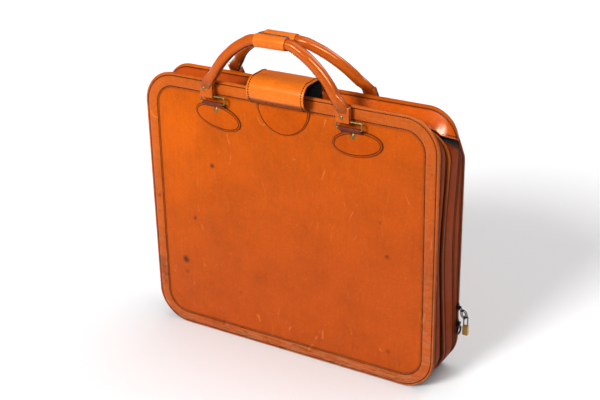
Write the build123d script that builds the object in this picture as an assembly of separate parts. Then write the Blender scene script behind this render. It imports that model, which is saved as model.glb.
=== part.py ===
from math import atan2, cos, radians, sin
import os

from build123d import *

# Leather suitcase with two rolled handles, a front pocket and a zipped back lid.
# Millimetres. X runs across the front, Y from front to back, Z up.
# The origin is on the floor, under the middle of the case's depth and width.

# Case body
WIDTH = 522.0
DEPTH = 95.0
FRONT_HEIGHT = 456.0
DIVIDER_DROP = 32.0
LID_DROP = 5.0
CORNER_RADIUS = 57.0
INNER_TOP_RADIUS = 48.0

# Leather, board and lining
LEATHER = 2.2
THIN_LEATHER = 1.4
FRONT_BOARD = 3.2
BORDER_WIDTH = 21.0
BORDER_THICKNESS = 1.0
LINING = 0.8
RIM_THICKNESS = 4.0
RIM_WIDTH = 7.0
BAND_INSET = 1.5
BOARD_GAP = 1.0
TOUCH = 0.3
OVERRUN = 6.0

# Side lines of the gusset: distance from the front face at a few shares of the divider's height
DIVIDER_LINE = [(46.5, 0.0), (34.0, 0.257), (22.5, 0.618), (34.0, 0.861), (38.0, 1.0)]
SEAM_LINE = [(80.0, 0.0), (73.0, 0.257), (63.0, 0.606), (73.5, 0.873), (77.0, 1.0)]
POCKET_PINCH = 12.0
POCKET_MOUTH_INSET = 49.0

# Zip along the lid
ZIP_TAPE = 2.8
ZIP_GAP = 1.4
ZIP_THICKNESS = 0.8
ZIP_INSET = 2.0
ZIP_FROM_BACK = 10.5
ZIP_BEND_RISE = 1.0
ZIP_TURN_FROM_BACK = 25.0
ZIP_TURN_DROP = 61.0
ZIP_FRONT_DROP = 11.5
HEM_FRONT_DROP = 6.0
HEM_BACK_DROP = 21.0
HEM_SET_BACK = 1.0

# Lid
LID_BOARD = 3.4
LID_BEND_LOW_DROP = 84.0
LID_BEND_HIGH_DROP = 41.0
LID_SHOULDER = 28.0
LID_TOP_SET_IN = 30.0
LID_BEND_RADIUS = 20.0
BINDING_WIDTH = 10.0
BINDING_THICKNESS = 0.7

# Oval patches, chapes and studs
CHAPE_SPREAD = 2.0
PATCH_LENGTH = 86.0
PATCH_HEIGHT = 42.0
PATCH_BELOW_TOP = 60.5
PATCH_THICKNESS = 2.4
PATCH_SHIFTS = {"left": 2.0, "right": 6.5}
PATCH_ANGLES = {"left": -11.0, "right": 7.0}
CHAPE_WIDTH = 32.0
CHAPE_STRAP = 1.5
CHAPE_EYE_WALL = 2.0
CHAPE_TAIL = 14.0
BAR_BELOW_TOP = {"front": 34.5, "rear": 19.0}
REAR_PATCH_DOWN = 25.0
STUD_RADIUS = 4.0
STUD_HEIGHT = 2.2
STUD_RISE = 12.0

# Rings
RING_WIRE = 1.5
RING_INNER_WIDTH = 40.0
RING_BAR_SPACING = 11.5
RING_CORNER = 3.0
RING_STAND_OFF = 9.5
HINGE_FIT = 0.05
RING_SHIFT = 9.4

# Handles
HANDLE_SPAN = 241.0
HANDLE_RISE = 102.5
HANDLE_RADIUS = 8.5
HANDLE_ROUNDING = 0.97
GRIP_RADIUS = 10.4
GRIP_LENGTH = 54.0
GRIP_BEND_RADIUS = 30.0
GRIP_BEND_ANGLE = 26.0
LEG_RADIUS = 150.0
LEG_END_ANGLE = 60.0
TAB_WIDTH = 18.0
TAB_THICKNESS = 8.0
TAB_HEIGHT = 12.0
TAB_ROUNDING = 0.33
RIVET_ACROSS = 4.5
LARGE_RIVET = (9.0, 3.4, TAB_THICKNESS / 2)
SMALL_RIVET = (19.0, 2.2, 5.6)
RIVET_HEIGHT = 1.4
HANDLE_SHIFTS = {"front": -10.9, "rear": -7.0}
REAR_LEAN_ANGLE = 30.0
GRIP_SHIFTS = {"front": 0.0, "rear": -6.0}
CLASP_LENGTH = 52.0
CLASP_WIDTH = 8.0
CLASP_THICKNESS = 1.6
CLASP_ANGLE = 35.0

# Closing flap
FLAP_WIDTH = 100.0
FLAP_LEATHER = 2.4
FLAP_FRONT_RADIUS = 22.5
FLAP_TOP_RADIUS = 21.5
FLAP_BACK_RADIUS = 17.0
FLAP_PIVOT_DROP = 1.0
FLAP_STRAP_DROP = 51.0
FLAP_TAB_HEIGHT = 18.5
LANDING_WIDTH = 96.0
LANDING_DROP = 48.0
MAGNET_RADIUS = 7.0
MAGNET_THICKNESS = 1.5
CATCH_THICKNESS = 0.8
CATCH_BELOW_TOP = 8.5

# Zip sliders, pulls and padlock
SLIDER_LENGTH = 13.0
SLIDER_WIDTH = 8.0
SLIDER_INNER_WIDTH = 5.0
SLIDER_PLATE = 1.3
SLIDER_HEIGHTS = {"upper": 112.0, "lower": 84.0}
PIN_RADIUS = 0.8
PIN_STAND_OFF = 2.1
EAR_THICKNESS = 1.2
PULL_EYE_WIDTH = 3.0
PULL_EYE_WALL = 0.85
PULL_THICKNESS = 1.6
PULL_REACH = 12.4
PULL_OUTER_RADIUS = 7.2
PULL_HOLE_RADIUS = 5.2
PULL_TILT_ANGLES = {"upper": 36.0, "lower": 0.0}
SHACKLE_WIRE = 0.75
SHACKLE_SPACING = 6.7
SHACKLE_DROP = 14.0
SHACKLE_SEAT = 6.0
SHACKLE_PLAY = 1.0
PADLOCK_WIDTH = 9.2
PADLOCK_HEIGHT = 16.5
PADLOCK_THICKNESS = 5.0
PADLOCK_CORNER = 1.0

# Places worked out from the sizes above
FRONT = -DEPTH / 2
BACK = DEPTH / 2
HALF = WIDTH / 2
DIVIDER_HEIGHT = FRONT_HEIGHT - DIVIDER_DROP
LID_HEIGHT = FRONT_HEIGHT - LID_DROP
FIELD = FRONT + BORDER_THICKNESS
PANEL_BACK = FIELD + FRONT_BOARD
LID_BEND_LOW = LID_HEIGHT - LID_BEND_LOW_DROP
LID_BEND_HIGH = LID_HEIGHT - LID_BEND_HIGH_DROP
ZIP_EDGE = BACK - ZIP_FROM_BACK
ZIP_BEND = (ZIP_EDGE, LID_BEND_LOW + ZIP_BEND_RISE)
ZIP_TURN = (BACK - ZIP_TURN_FROM_BACK, LID_HEIGHT - ZIP_TURN_DROP)
ZIP_FRONT_HEIGHT = DIVIDER_HEIGHT - ZIP_FRONT_DROP
HEM_FRONT_HEIGHT = DIVIDER_HEIGHT - HEM_FRONT_DROP
HEM_BACK_HEIGHT = DIVIDER_HEIGHT - HEM_BACK_DROP
LID_FRONT = BACK - LID_BOARD
DIVIDER_TOP_Y = FRONT + DIVIDER_LINE[-1][0]
LID_TOP_Y = BACK - LID_TOP_SET_IN
STRIP_RISE = LID_HEIGHT - DIVIDER_HEIGHT
STRIP_RUN = LID_TOP_Y - DIVIDER_TOP_Y
SHOULDER_LEAN = atan2(LID_SHOULDER, LID_BEND_HIGH - LID_BEND_LOW)
ZIP_MIDDLE = ZIP_EDGE + ZIP_TAPE + ZIP_GAP / 2
SIDES = {"left": -1, "right": 1}
CHAPE_PLACES = {name: way * (HANDLE_SPAN + CHAPE_SPREAD) / 2 for name, way in SIDES.items()}
TAB_PLACES = {name: HANDLE_SHIFTS["front"] + way * HANDLE_SPAN / 2 for name, way in SIDES.items()}
FLAP_THICKNESS = FLAP_LEATHER + LINING
FLAP_PIVOT_HEIGHT = FRONT_HEIGHT - FLAP_PIVOT_DROP
FLAP_STRAP_FOOT = FRONT_HEIGHT - FLAP_STRAP_DROP
CATCH_HEIGHT = FRONT_HEIGHT - CATCH_BELOW_TOP

os.makedirs("parts", exist_ok=True)


def save(name, shape):
    export_step(shape, f"parts/{name}.step")


def along_y(face, low, high):
    """Extrude a face drawn in X and Z from depth low to depth high."""
    return extrude(Plane.XZ.offset(-high) * face, high - low)


def along_x(face, low, high):
    """Extrude a face drawn in Y and Z from low to high across the case."""
    return extrude(Plane.YZ.offset(low) * face, high - low)


def across(face, width=WIDTH + 2 * OVERRUN):
    return along_x(face, -width / 2, width / 2)


def outline(height, top_radius, inset=0.0):
    """The case's front outline: a standing rectangle with rounded corners."""
    plate = Pos(0, height / 2) * Rectangle(WIDTH - 2 * inset, height - 2 * inset)
    plate = fillet(plate.vertices().sort_by(Axis.Y)[:2], CORNER_RADIUS - inset)
    return fillet(plate.vertices().sort_by(Axis.Y)[-2:], top_radius - inset)


def side_curve(line, shift=0.0):
    """Side line of the gusset, running on past both ends of the wall it cuts."""
    points = [[FRONT + depth + shift, share * DIVIDER_HEIGHT] for depth, share in line]
    points[0][1] -= OVERRUN
    points[-1][1] += OVERRUN
    return Spline(*[tuple(point) for point in points])


def between_curves(line_a, shift_a, line_b, shift_b):
    """Face in Y and Z between two side lines of the gusset."""
    curve_a = side_curve(line_a, shift_a)
    curve_b = side_curve(line_b, shift_b)
    return make_face([curve_a, Line(curve_a @ 1, curve_b @ 1), curve_b, Line(curve_b @ 0, curve_a @ 0)])


def mirrored(shape):
    return mirror(shape, Plane.YZ)


def front_shell():
    """Front panel with its border, the half-moon landing and the catch plate."""
    outer = outline(FRONT_HEIGHT, CORNER_RADIUS)
    field = outline(FRONT_HEIGHT, CORNER_RADIUS, BORDER_WIDTH)
    save("front_panel", along_y(outer, FIELD, PANEL_BACK))
    save("front_border", along_y(outer - field, FRONT, FIELD))
    lining = outline(FRONT_HEIGHT, CORNER_RADIUS, 2 * LEATHER)
    save("front_lining", along_y(lining, PANEL_BACK, PANEL_BACK + LINING))

    landing_top = FRONT_HEIGHT - BORDER_WIDTH - TOUCH
    lower_half = Pos(0, -LANDING_DROP / 2) * Rectangle(LANDING_WIDTH, LANDING_DROP)
    half_moon = Pos(0, landing_top) * (Ellipse(LANDING_WIDTH / 2, LANDING_DROP) & lower_half)
    save("flap_landing", along_y(half_moon, FIELD - THIN_LEATHER, FIELD))

    plate = Pos(0, CATCH_HEIGHT) * Circle(MAGNET_RADIUS)
    save("catch_plate", along_y(plate, FRONT - CATCH_THICKNESS, FRONT))


def divider_parts():
    """Bowed wall between the pocket and the main compartment, and its stitched rim."""
    outer = outline(DIVIDER_HEIGHT, INNER_TOP_RADIUS)
    inner = outline(DIVIDER_HEIGHT, INNER_TOP_RADIUS, RIM_WIDTH)
    rim_slab = across(between_curves(DIVIDER_LINE, 0, DIVIDER_LINE, RIM_THICKNESS))
    wall_slab = across(between_curves(DIVIDER_LINE, LINING, DIVIDER_LINE, RIM_THICKNESS - LINING))
    rim = along_y(outer - inner, FRONT, BACK) & rim_slab
    save("divider_rim", rim)
    save("divider", along_y(inner, FRONT, BACK) & wall_slab)
    front_skin = across(between_curves(DIVIDER_LINE, 0, DIVIDER_LINE, LINING))
    back_skin = across(between_curves(DIVIDER_LINE, RIM_THICKNESS - LINING, DIVIDER_LINE, RIM_THICKNESS))
    save("pocket_lining", along_y(inner, FRONT, BACK) & front_skin)
    save("main_lining", along_y(inner, FRONT, BACK) & back_skin)


def tapered_block(front_inset, back_inset, back_end):
    """Loft from the front outline to the divider's outline, for the pinched pocket gusset."""
    front = Plane.XZ.offset(-PANEL_BACK) * outline(FRONT_HEIGHT, CORNER_RADIUS, front_inset)
    back = Plane.XZ.offset(-back_end) * outline(DIVIDER_HEIGHT, INNER_TOP_RADIUS, back_inset)
    return loft([front, back], ruled=True)


def pocket_gusset():
    """Soft side wall of the front pocket, pinched in towards the divider."""
    start = LEATHER
    back_end = FRONT + DIVIDER_LINE[0][0] + OVERRUN
    outer = tapered_block(start, start + POCKET_PINCH, back_end)
    inner = tapered_block(start + LEATHER, start + POCKET_PINCH + LEATHER, back_end)
    divider = side_curve(DIVIDER_LINE)
    top = FRONT_HEIGHT + OVERRUN
    foot = (PANEL_BACK, (divider @ 0).Y)
    rest = Polyline(divider @ 1, ((divider @ 1).X, top), (PANEL_BACK, top), foot, divider @ 0)
    in_front = make_face([divider, rest])
    mouth = Pos(0, 0, FRONT_HEIGHT) * Box(WIDTH - 2 * POCKET_MOUTH_INSET, 2 * DEPTH, 2 * CORNER_RADIUS)
    gusset = ((outer - inner) & across(in_front)) - mouth
    lining = along_y(outline(FRONT_HEIGHT, CORNER_RADIUS, 2 * LEATHER), PANEL_BACK, PANEL_BACK + LINING)
    save("pocket_gusset", gusset - lining)


def main_gusset():
    """Two stitched leather bands round the main compartment, up to the zip."""
    outer = outline(DIVIDER_HEIGHT, INNER_TOP_RADIUS, BAND_INSET)
    inner = outline(DIVIDER_HEIGHT, INNER_TOP_RADIUS, BAND_INSET + LEATHER)
    wall = along_y(outer - inner, FRONT, BACK) & before_lid(2 * TOUCH)
    open_top = below_zip()
    middle = across(between_curves(DIVIDER_LINE, RIM_THICKNESS, SEAM_LINE, 0))
    save("gusset_middle_band", wall & middle & open_top)
    seam = side_curve(SEAM_LINE)
    rear = make_face([
        seam,
        Polyline(seam @ 1, (ZIP_EDGE, (seam @ 1).Y), (ZIP_EDGE, (seam @ 0).Y), seam @ 0),
    ])
    save("gusset_rear_band", wall & across(rear) & open_top)

    board_low = BAND_INSET + LEATHER
    start = FRONT + DIVIDER_LINE[0][0] + RIM_THICKNESS + BOARD_GAP
    flat = WIDTH - 2 * CORNER_RADIUS
    corner = (Align.CENTER, Align.MIN, Align.MIN)
    board = Box(flat, ZIP_EDGE - start, LEATHER, align=corner)
    save("base_board", Pos(0, start, board_low) * board)
    strip = Box(flat, LID_FRONT - TOUCH - ZIP_EDGE, LEATHER, align=corner)
    save("hinge_strip", Pos(0, ZIP_EDGE, BAND_INSET) * strip)


def below_zip(grow=0.0):
    """Everything in front of and below the zip's side line, or that line moved out."""
    side = make_face(Polyline(
        (2 * FRONT, -DEPTH), (ZIP_EDGE, -DEPTH), ZIP_BEND, ZIP_TURN,
        (DIVIDER_TOP_Y, ZIP_FRONT_HEIGHT), (2 * FRONT, ZIP_FRONT_HEIGHT), (2 * FRONT, -DEPTH)))
    if grow:
        side = offset(side, amount=grow, kind=Kind.INTERSECTION)
    return across(side)


def lid_chain(depth):
    """Side line of the lid, measured inward from its outer face."""
    points = [
        (BACK - depth, 0),
        (BACK - depth, LID_BEND_LOW),
        (BACK - LID_SHOULDER - depth, LID_BEND_HIGH),
        (LID_TOP_Y - depth, LID_HEIGHT),
    ]
    return FilletPolyline(*points, radius=LID_BEND_RADIUS)


def lid_skin(depth_from, depth_to):
    """Layer of the lid between two depths below its outer face."""
    outer = lid_chain(depth_from)
    inner = lid_chain(depth_to)
    return across(make_face([outer, Line(outer @ 1, inner @ 1), inner, Line(inner @ 0, outer @ 0)]))


def before_lid(clearance):
    """Everything in front of the lid's lining."""
    inner = lid_chain(LID_BOARD + LINING + clearance)
    front = Polyline(inner @ 1, (2 * FRONT, LID_HEIGHT), (2 * FRONT, 0), inner @ 0)
    return across(make_face([inner, front]))


def strip_shell(outer_inset, inner_inset, start, end):
    """Band over the lid's top, extruded along its slope from depth start to depth end."""
    ring = outline(DIVIDER_HEIGHT, INNER_TOP_RADIUS, outer_inset)
    ring -= outline(DIVIDER_HEIGHT, INNER_TOP_RADIUS, inner_inset)
    slope = Vector(0, STRIP_RUN, STRIP_RISE)
    share = (end - start) / STRIP_RUN
    base = Plane.XZ.offset(-start) * Pos(0, (start - DIVIDER_TOP_Y) * STRIP_RISE / STRIP_RUN) * ring
    return extrude(base, amount=slope.length * share, dir=slope.normalized())


def above_hem():
    """Everything above the strip's stitched hem, seen from the side."""
    return across(make_face(Polyline(
        (FRONT, HEM_FRONT_HEIGHT), (DIVIDER_TOP_Y - HEM_SET_BACK, HEM_FRONT_HEIGHT),
        (LID_TOP_Y + 2 * HEM_SET_BACK, HEM_BACK_HEIGHT), (BACK, HEM_BACK_HEIGHT),
        (BACK, LID_HEIGHT + OVERRUN), (FRONT, LID_HEIGHT + OVERRUN), (FRONT, HEM_FRONT_HEIGHT))))


def lid_parts():
    """Back panel, its border and lining, the glossy top strip and its binding."""
    outer = outline(LID_HEIGHT, INNER_TOP_RADIUS)
    field = outline(LID_HEIGHT, INNER_TOP_RADIUS, BORDER_WIDTH)
    save("back_panel", along_y(outer, FRONT, BACK) & lid_skin(BORDER_THICKNESS, LID_BOARD))
    save("back_border", along_y(outer - field, FRONT, BACK) & lid_skin(0, BORDER_THICKNESS))
    lining = outline(LID_HEIGHT, INNER_TOP_RADIUS, 2 * LEATHER)
    lining = along_y(lining, FRONT, BACK) & lid_skin(LID_BOARD, LID_BOARD + LINING)
    save("lid_lining", lining)

    hem_start = DIVIDER_TOP_Y + RIM_THICKNESS / 2 + BOARD_GAP
    strip = strip_shell(0, LEATHER, hem_start, LID_TOP_Y) & above_hem()
    save("top_strip", strip - lid_skin(0, LID_BOARD) - lining)
    binding = strip_shell(-BINDING_THICKNESS, 0, LID_TOP_Y - BINDING_WIDTH, LID_TOP_Y - LEATHER)
    save("top_binding", (binding & above_hem()) - lid_skin(0, LID_BOARD))
    return lining


def zip_tapes(lining):
    """Two tapes of the zip: one on the gusset's edge and one on the lid."""
    outer = outline(DIVIDER_HEIGHT, INNER_TOP_RADIUS, ZIP_INSET)
    inner = outline(DIVIDER_HEIGHT, INNER_TOP_RADIUS, ZIP_INSET + ZIP_THICKNESS)
    start = DIVIDER_TOP_Y + RIM_THICKNESS
    base = Pos(0, start, 0) * Box(WIDTH - 2 * CORNER_RADIUS, 2 * DEPTH, CORNER_RADIUS)
    wall = along_y(outer - inner, start, BACK) - base
    on_case = below_zip(ZIP_TAPE) - below_zip()
    save("zip_tape_case", wall & before_lid(TOUCH) & on_case)
    on_lid = (wall & before_lid(-LINING)) - lining
    save("zip_tape_lid", on_lid - below_zip(ZIP_TAPE + ZIP_GAP) - above_hem())


def ring_bar(side):
    """Depth and height of the lower bar of the rings on one side."""
    if side == "front":
        return FRONT - RING_STAND_OFF, FRONT_HEIGHT - BAR_BELOW_TOP[side]
    return LID_TOP_Y + RING_STAND_OFF, LID_HEIGHT - BAR_BELOW_TOP[side]


def patch_plane(side, x):
    """Plane on the leather at the middle of an oval patch, facing outward."""
    if side == "front":
        return Plane((x, FIELD, FRONT_HEIGHT - PATCH_BELOW_TOP), x_dir=(1, 0, 0), z_dir=(0, -1, 0))
    down = REAR_PATCH_DOWN
    normal = Vector(0, cos(SHOULDER_LEAN), sin(SHOULDER_LEAN))
    shoulder = Vector(x, BACK - LID_SHOULDER, LID_BEND_HIGH)
    along = Vector(0, sin(SHOULDER_LEAN), -cos(SHOULDER_LEAN))
    return Plane(shoulder + along * down - normal * BORDER_THICKNESS, x_dir=(-1, 0, 0), z_dir=normal)


def dome(radius, height):
    """Low domed head standing on its local plane."""
    ball = (radius ** 2 + height ** 2) / (2 * height)
    above = Box(4 * radius, 4 * radius, height, align=(Align.CENTER, Align.CENTER, Align.MIN))
    return Pos(0, 0, height - ball) * Sphere(ball) & above


def patch_and_chape(side, name):
    """Oval patch, the chape that grips the ring's lower bar, and the stud through both."""
    chape_x = CHAPE_PLACES[name]
    plane = patch_plane(side, chape_x + PATCH_SHIFTS[name])
    turn = PATCH_ANGLES[name] if side == "front" else -PATCH_ANGLES[name]
    patch = extrude(plane * (Rot(0, 0, turn) * Ellipse(PATCH_LENGTH / 2, PATCH_HEIGHT / 2)), PATCH_THICKNESS)

    bar_y, bar_z = ring_bar(side)
    outward = -1 if side == "front" else 1
    centre = plane.origin + plane.z_dir * (CHAPE_STRAP / 2)
    low = centre + plane.y_dir * (PATCH_HEIGHT / 2 - CHAPE_TAIL)
    high = centre + plane.y_dir * (PATCH_HEIGHT / 2)
    eye_outer = RING_WIRE + HINGE_FIT + CHAPE_EYE_WALL
    eye = (bar_y - outward * (eye_outer - CHAPE_STRAP / 2), bar_z)
    section = trace(Polyline((low.Y, low.Z), (high.Y, high.Z), eye), CHAPE_STRAP)
    bar = Pos(bar_y, bar_z)
    section = section + bar * Circle(eye_outer) - bar * Circle(RING_WIRE + HINGE_FIT)
    chape = along_x(section, chape_x - CHAPE_WIDTH / 2, chape_x + CHAPE_WIDTH / 2)
    patch -= chape
    if side == "rear":
        patch -= lid_skin(0, LID_BOARD)
        chape -= lid_skin(0, LID_BOARD)
    save(f"{side}_chape_{name}", chape)
    save(f"{side}_patch_{name}", patch)
    foot = patch_plane(side, chape_x) * Pos(0, STUD_RISE, PATCH_THICKNESS)
    return foot * dome(STUD_RADIUS, STUD_HEIGHT)


def wire_ring(side, name):
    """Rectangular wire ring standing on its lower bar."""
    bar_y, bar_z = ring_bar(side)
    frame = RectangleRounded(RING_INNER_WIDTH + 2 * RING_WIRE, RING_BAR_SPACING, RING_CORNER)
    wire = (Pos(0, RING_BAR_SPACING / 2) * frame).wire()
    ring = sweep(Plane(origin=wire @ 0, z_dir=wire % 0) * Circle(RING_WIRE), path=wire)
    save(f"{side}_ring_{name}", Pos(TAB_PLACES[name] + RING_SHIFT, bar_y, bar_z) * (Plane.XZ.location * ring))


def handle_place(side):
    """Place of a handle's middle: local X along the grip, local Y up the handle."""
    bar_y, bar_z = ring_bar(side)
    angle = REAR_LEAN_ANGLE if side == "rear" else 0
    lean = radians(angle)
    top_bar = bar_z + RING_BAR_SPACING
    middle = Pos(HANDLE_SHIFTS[side], bar_y - HANDLE_RISE * sin(lean), top_bar + HANDLE_RISE * cos(lean))
    return middle * Rot(90 + angle, 0, 0)


def handle_core():
    """Rolled leather handle that flattens at both ends and folds round the rings."""
    half_span = HANDLE_SPAN / 2
    straight = Line((0, 0), (GRIP_LENGTH / 2, 0))
    bend = JernArc(straight @ 1, (1, 0), GRIP_BEND_RADIUS, -GRIP_BEND_ANGLE)
    leg = JernArc(bend @ 1, bend % 1, LEG_RADIUS, GRIP_BEND_ANGLE - LEG_END_ANGLE)
    tube = sweep(Plane.YZ * Circle(HANDLE_RADIUS), path=straight + bend + leg)

    tab_top = TAB_HEIGHT - HANDLE_RISE
    nearly_round = RectangleRounded(2 * HANDLE_RADIUS, 2 * HANDLE_RADIUS, HANDLE_ROUNDING * HANDLE_RADIUS)
    upper = Plane(origin=leg @ 1, x_dir=(0, 0, 1), z_dir=leg % 1) * nearly_round
    flat = Plane((half_span, tab_top, 0), x_dir=(0, 0, 1), z_dir=(0, -1, 0))
    flare = loft([upper, flat * RectangleRounded(TAB_THICKNESS, TAB_WIDTH, TAB_ROUNDING * TAB_THICKNESS)])

    section = Pos(0, TAB_HEIGHT / 2) * Rectangle(TAB_THICKNESS, TAB_HEIGHT) + Circle(TAB_THICKNESS / 2)
    section -= Circle(RING_WIRE + HINGE_FIT)
    edge = Plane((half_span - TAB_WIDTH / 2, -HANDLE_RISE, 0), x_dir=(0, 0, -1), z_dir=(1, 0, 0))
    half = tube + flare + extrude(edge * section, TAB_WIDTH)
    return half + mirrored(half)


def handle_rivets(side, core):
    """Large heads on the outer face of the folded ends and small ones on the front."""
    heads = []
    for end in (-1, 1):
        for x, rise, radius, seat, face in (
            (end * HANDLE_SPAN / 2 - RIVET_ACROSS, *LARGE_RIVET, side),
            (end * (HANDLE_SPAN / 2 - RIVET_ACROSS), *SMALL_RIVET, "front"),
        ):
            rod = Cylinder(radius, seat, align=(Align.CENTER, Align.CENTER, Align.MIN))
            head = Pos(x, rise - HANDLE_RISE) * (rod + Pos(0, 0, seat) * dome(radius, RIVET_HEIGHT))
            head = (head - core).solids().sort_by(Axis.Z)[-1]
            heads.append(head if face == "front" else mirror(head, Plane.XY))
    return Compound(heads)


def handle_parts(side):
    """Handle, its sleeve and rivets; the front one carries the clasp bar too."""
    place = handle_place(side)
    core = handle_core()
    ring = Circle(GRIP_RADIUS) - Circle(HANDLE_RADIUS)
    middle = GRIP_SHIFTS[side] - GRIP_LENGTH / 2
    grip = extrude(Plane.YZ.offset(middle) * ring, GRIP_LENGTH)
    if side == "rear":
        grip -= core
    save(f"{side}_handle", place * core)
    save(f"{side}_grip", place * grip)
    save(f"{side}_handle_rivets", place * handle_rivets(side, core))
    if side == "front":
        bar = Pos(0, 0, GRIP_RADIUS + CLASP_THICKNESS / 2) * Box(CLASP_LENGTH, CLASP_WIDTH, CLASP_THICKNESS)
        save("clasp_bar", place * (Rot(CLASP_ANGLE - 180, 0, 0) * bar))


def flap_line(depth):
    """Side line of the flap from its front lip over the top to its hinge, measured inward."""
    lip = (FRONT - THIN_LEATHER - 2 * TOUCH, FRONT_HEIGHT - BORDER_WIDTH - TOUCH + depth)
    front = JernArc(lip, (-1, 0), FLAP_FRONT_RADIUS - depth, -90)
    top = JernArc(front @ 1, (0, 1), FLAP_TOP_RADIUS - depth, -90)
    crown = Line(top @ 1, (DIVIDER_TOP_Y - FLAP_BACK_RADIUS, (top @ 1).Y))
    back = JernArc(crown @ 1, (1, 0), FLAP_BACK_RADIUS - depth, -90)
    down = Line(back @ 1, ((back @ 1).X, FLAP_PIVOT_HEIGHT))
    return [front, top, crown, back, down]


def layer(outer, inner):
    return make_face(outer + [Line(outer[-1] @ 1, inner[-1] @ 1)] + inner + [Line(inner[0] @ 0, outer[0] @ 0)])


def flap_parts():
    """Arched closing flap with its lining and magnet, and the strap that carries it."""
    outer = flap_line(0)
    middle = flap_line(FLAP_LEATHER)
    inner = flap_line(FLAP_THICKNESS)
    knuckle = Pos(DIVIDER_TOP_Y - FLAP_THICKNESS / 2, FLAP_PIVOT_HEIGHT) * Circle(FLAP_THICKNESS / 2)
    half = FLAP_WIDTH / 2
    leather = layer(outer, middle) + knuckle
    save("flap_leather", along_x(leather, -half, half))

    magnet_face = FRONT - CATCH_THICKNESS - TOUCH
    tab_front = magnet_face - MAGNET_THICKNESS - LINING
    tab_foot = (inner[0] @ 0).Y
    tab = Pos(tab_front + LINING / 2, tab_foot + FLAP_TAB_HEIGHT / 2) * Rectangle(LINING, FLAP_TAB_HEIGHT)
    lip_end = (inner[0] @ 0).X
    foot = Pos((tab_front + lip_end) / 2, tab_foot - LINING / 2) * Rectangle(lip_end - tab_front, LINING)
    save("flap_lining", along_x(layer(middle, inner) + tab + foot - leather, -half, half))
    magnet = Pos(0, CATCH_HEIGHT) * Circle(MAGNET_RADIUS)
    save("flap_magnet", along_y(magnet, magnet_face - MAGNET_THICKNESS, magnet_face))

    strap_top = FLAP_PIVOT_HEIGHT - FLAP_THICKNESS / 2 - TOUCH
    strap_length = strap_top - FLAP_STRAP_FOOT
    strap = Box(FLAP_WIDTH, FLAP_THICKNESS, strap_length, align=(Align.CENTER, Align.MAX, Align.MIN))
    behind = across(between_curves(DIVIDER_LINE, 0, DIVIDER_LINE, 2 * RIM_THICKNESS))
    save("flap_strap", Pos(0, DIVIDER_TOP_Y, FLAP_STRAP_FOOT) * strap - behind)


def pin_place(name):
    """Place of a pull's pin on its slider."""
    return HALF + TOUCH + SLIDER_PLATE + PIN_STAND_OFF, ZIP_MIDDLE, SLIDER_HEIGHTS[name]


def slider(name):
    """Zip slider: outer plate with two ears and a pin, a web, and an inner plate."""
    pin_x, y, z = pin_place(name)
    side_on = (Align.MIN, Align.CENTER, Align.CENTER)
    plate_x = HALF + TOUCH
    inner_x = HALF - BAND_INSET - LEATHER - SLIDER_PLATE
    outer = Pos(plate_x, y, z) * Box(SLIDER_PLATE, SLIDER_WIDTH, SLIDER_LENGTH, align=side_on)
    outer = fillet(outer.edges().filter_by(Axis.X), SLIDER_WIDTH / 3)
    inner = Pos(inner_x, y, z) * Box(SLIDER_PLATE, SLIDER_INNER_WIDTH, SLIDER_LENGTH, align=side_on)
    web = Pos(inner_x, y, z) * Box(plate_x - inner_x, ZIP_GAP / 2, SLIDER_LENGTH / 2, align=side_on)
    ear_gap = PULL_EYE_WIDTH / 2 + TOUCH
    ear_foot = Pos(plate_x + SLIDER_PLATE, y, z)
    ear_size = (PIN_STAND_OFF + 2 * PIN_RADIUS, 2 * (ear_gap + EAR_THICKNESS), 5 * PIN_RADIUS)
    ears = ear_foot * Box(*ear_size, align=side_on)
    ears -= ear_foot * Box(PULL_REACH, 2 * ear_gap, PULL_REACH, align=side_on)
    pin = Pos(pin_x, y, z) * Rot(90, 0, 0) * Cylinder(PIN_RADIUS, 2 * ear_gap)
    save(f"{name}_slider", outer + inner + web + ears + pin)


def pull(name):
    """Black ring-ended pull hanging on the slider's pin."""
    eye = PIN_RADIUS + HINGE_FIT + PULL_EYE_WALL
    bend = eye + 2 * TOUCH + PIN_RADIUS
    ring = Pos(0, -PULL_REACH) * Circle(PULL_OUTER_RADIUS)
    neck = make_hull((ring.edges() + (Pos(0, -bend - PULL_EYE_WIDTH / 2) * Circle(PULL_EYE_WIDTH / 2)).edges()))
    plate = neck + Pos(0, -(bend + PULL_EYE_WIDTH) / 2) * Rectangle(PULL_EYE_WIDTH, bend + PULL_EYE_WIDTH)
    plate -= Pos(0, -PULL_REACH) * Circle(PULL_HOLE_RADIUS)
    body = extrude(Plane.YZ.offset(-PULL_THICKNESS / 2) * plate, PULL_THICKNESS)
    barrel = Rot(90, 0, 0) * Cylinder(eye, PULL_EYE_WIDTH)
    bore = Rot(90, 0, 0) * Cylinder(PIN_RADIUS + HINGE_FIT, 2 * PULL_EYE_WIDTH)
    save(f"{name}_pull", Pos(*pin_place(name)) * Rot(0, -PULL_TILT_ANGLES[name], 0) * (body + barrel - bore))


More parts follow.
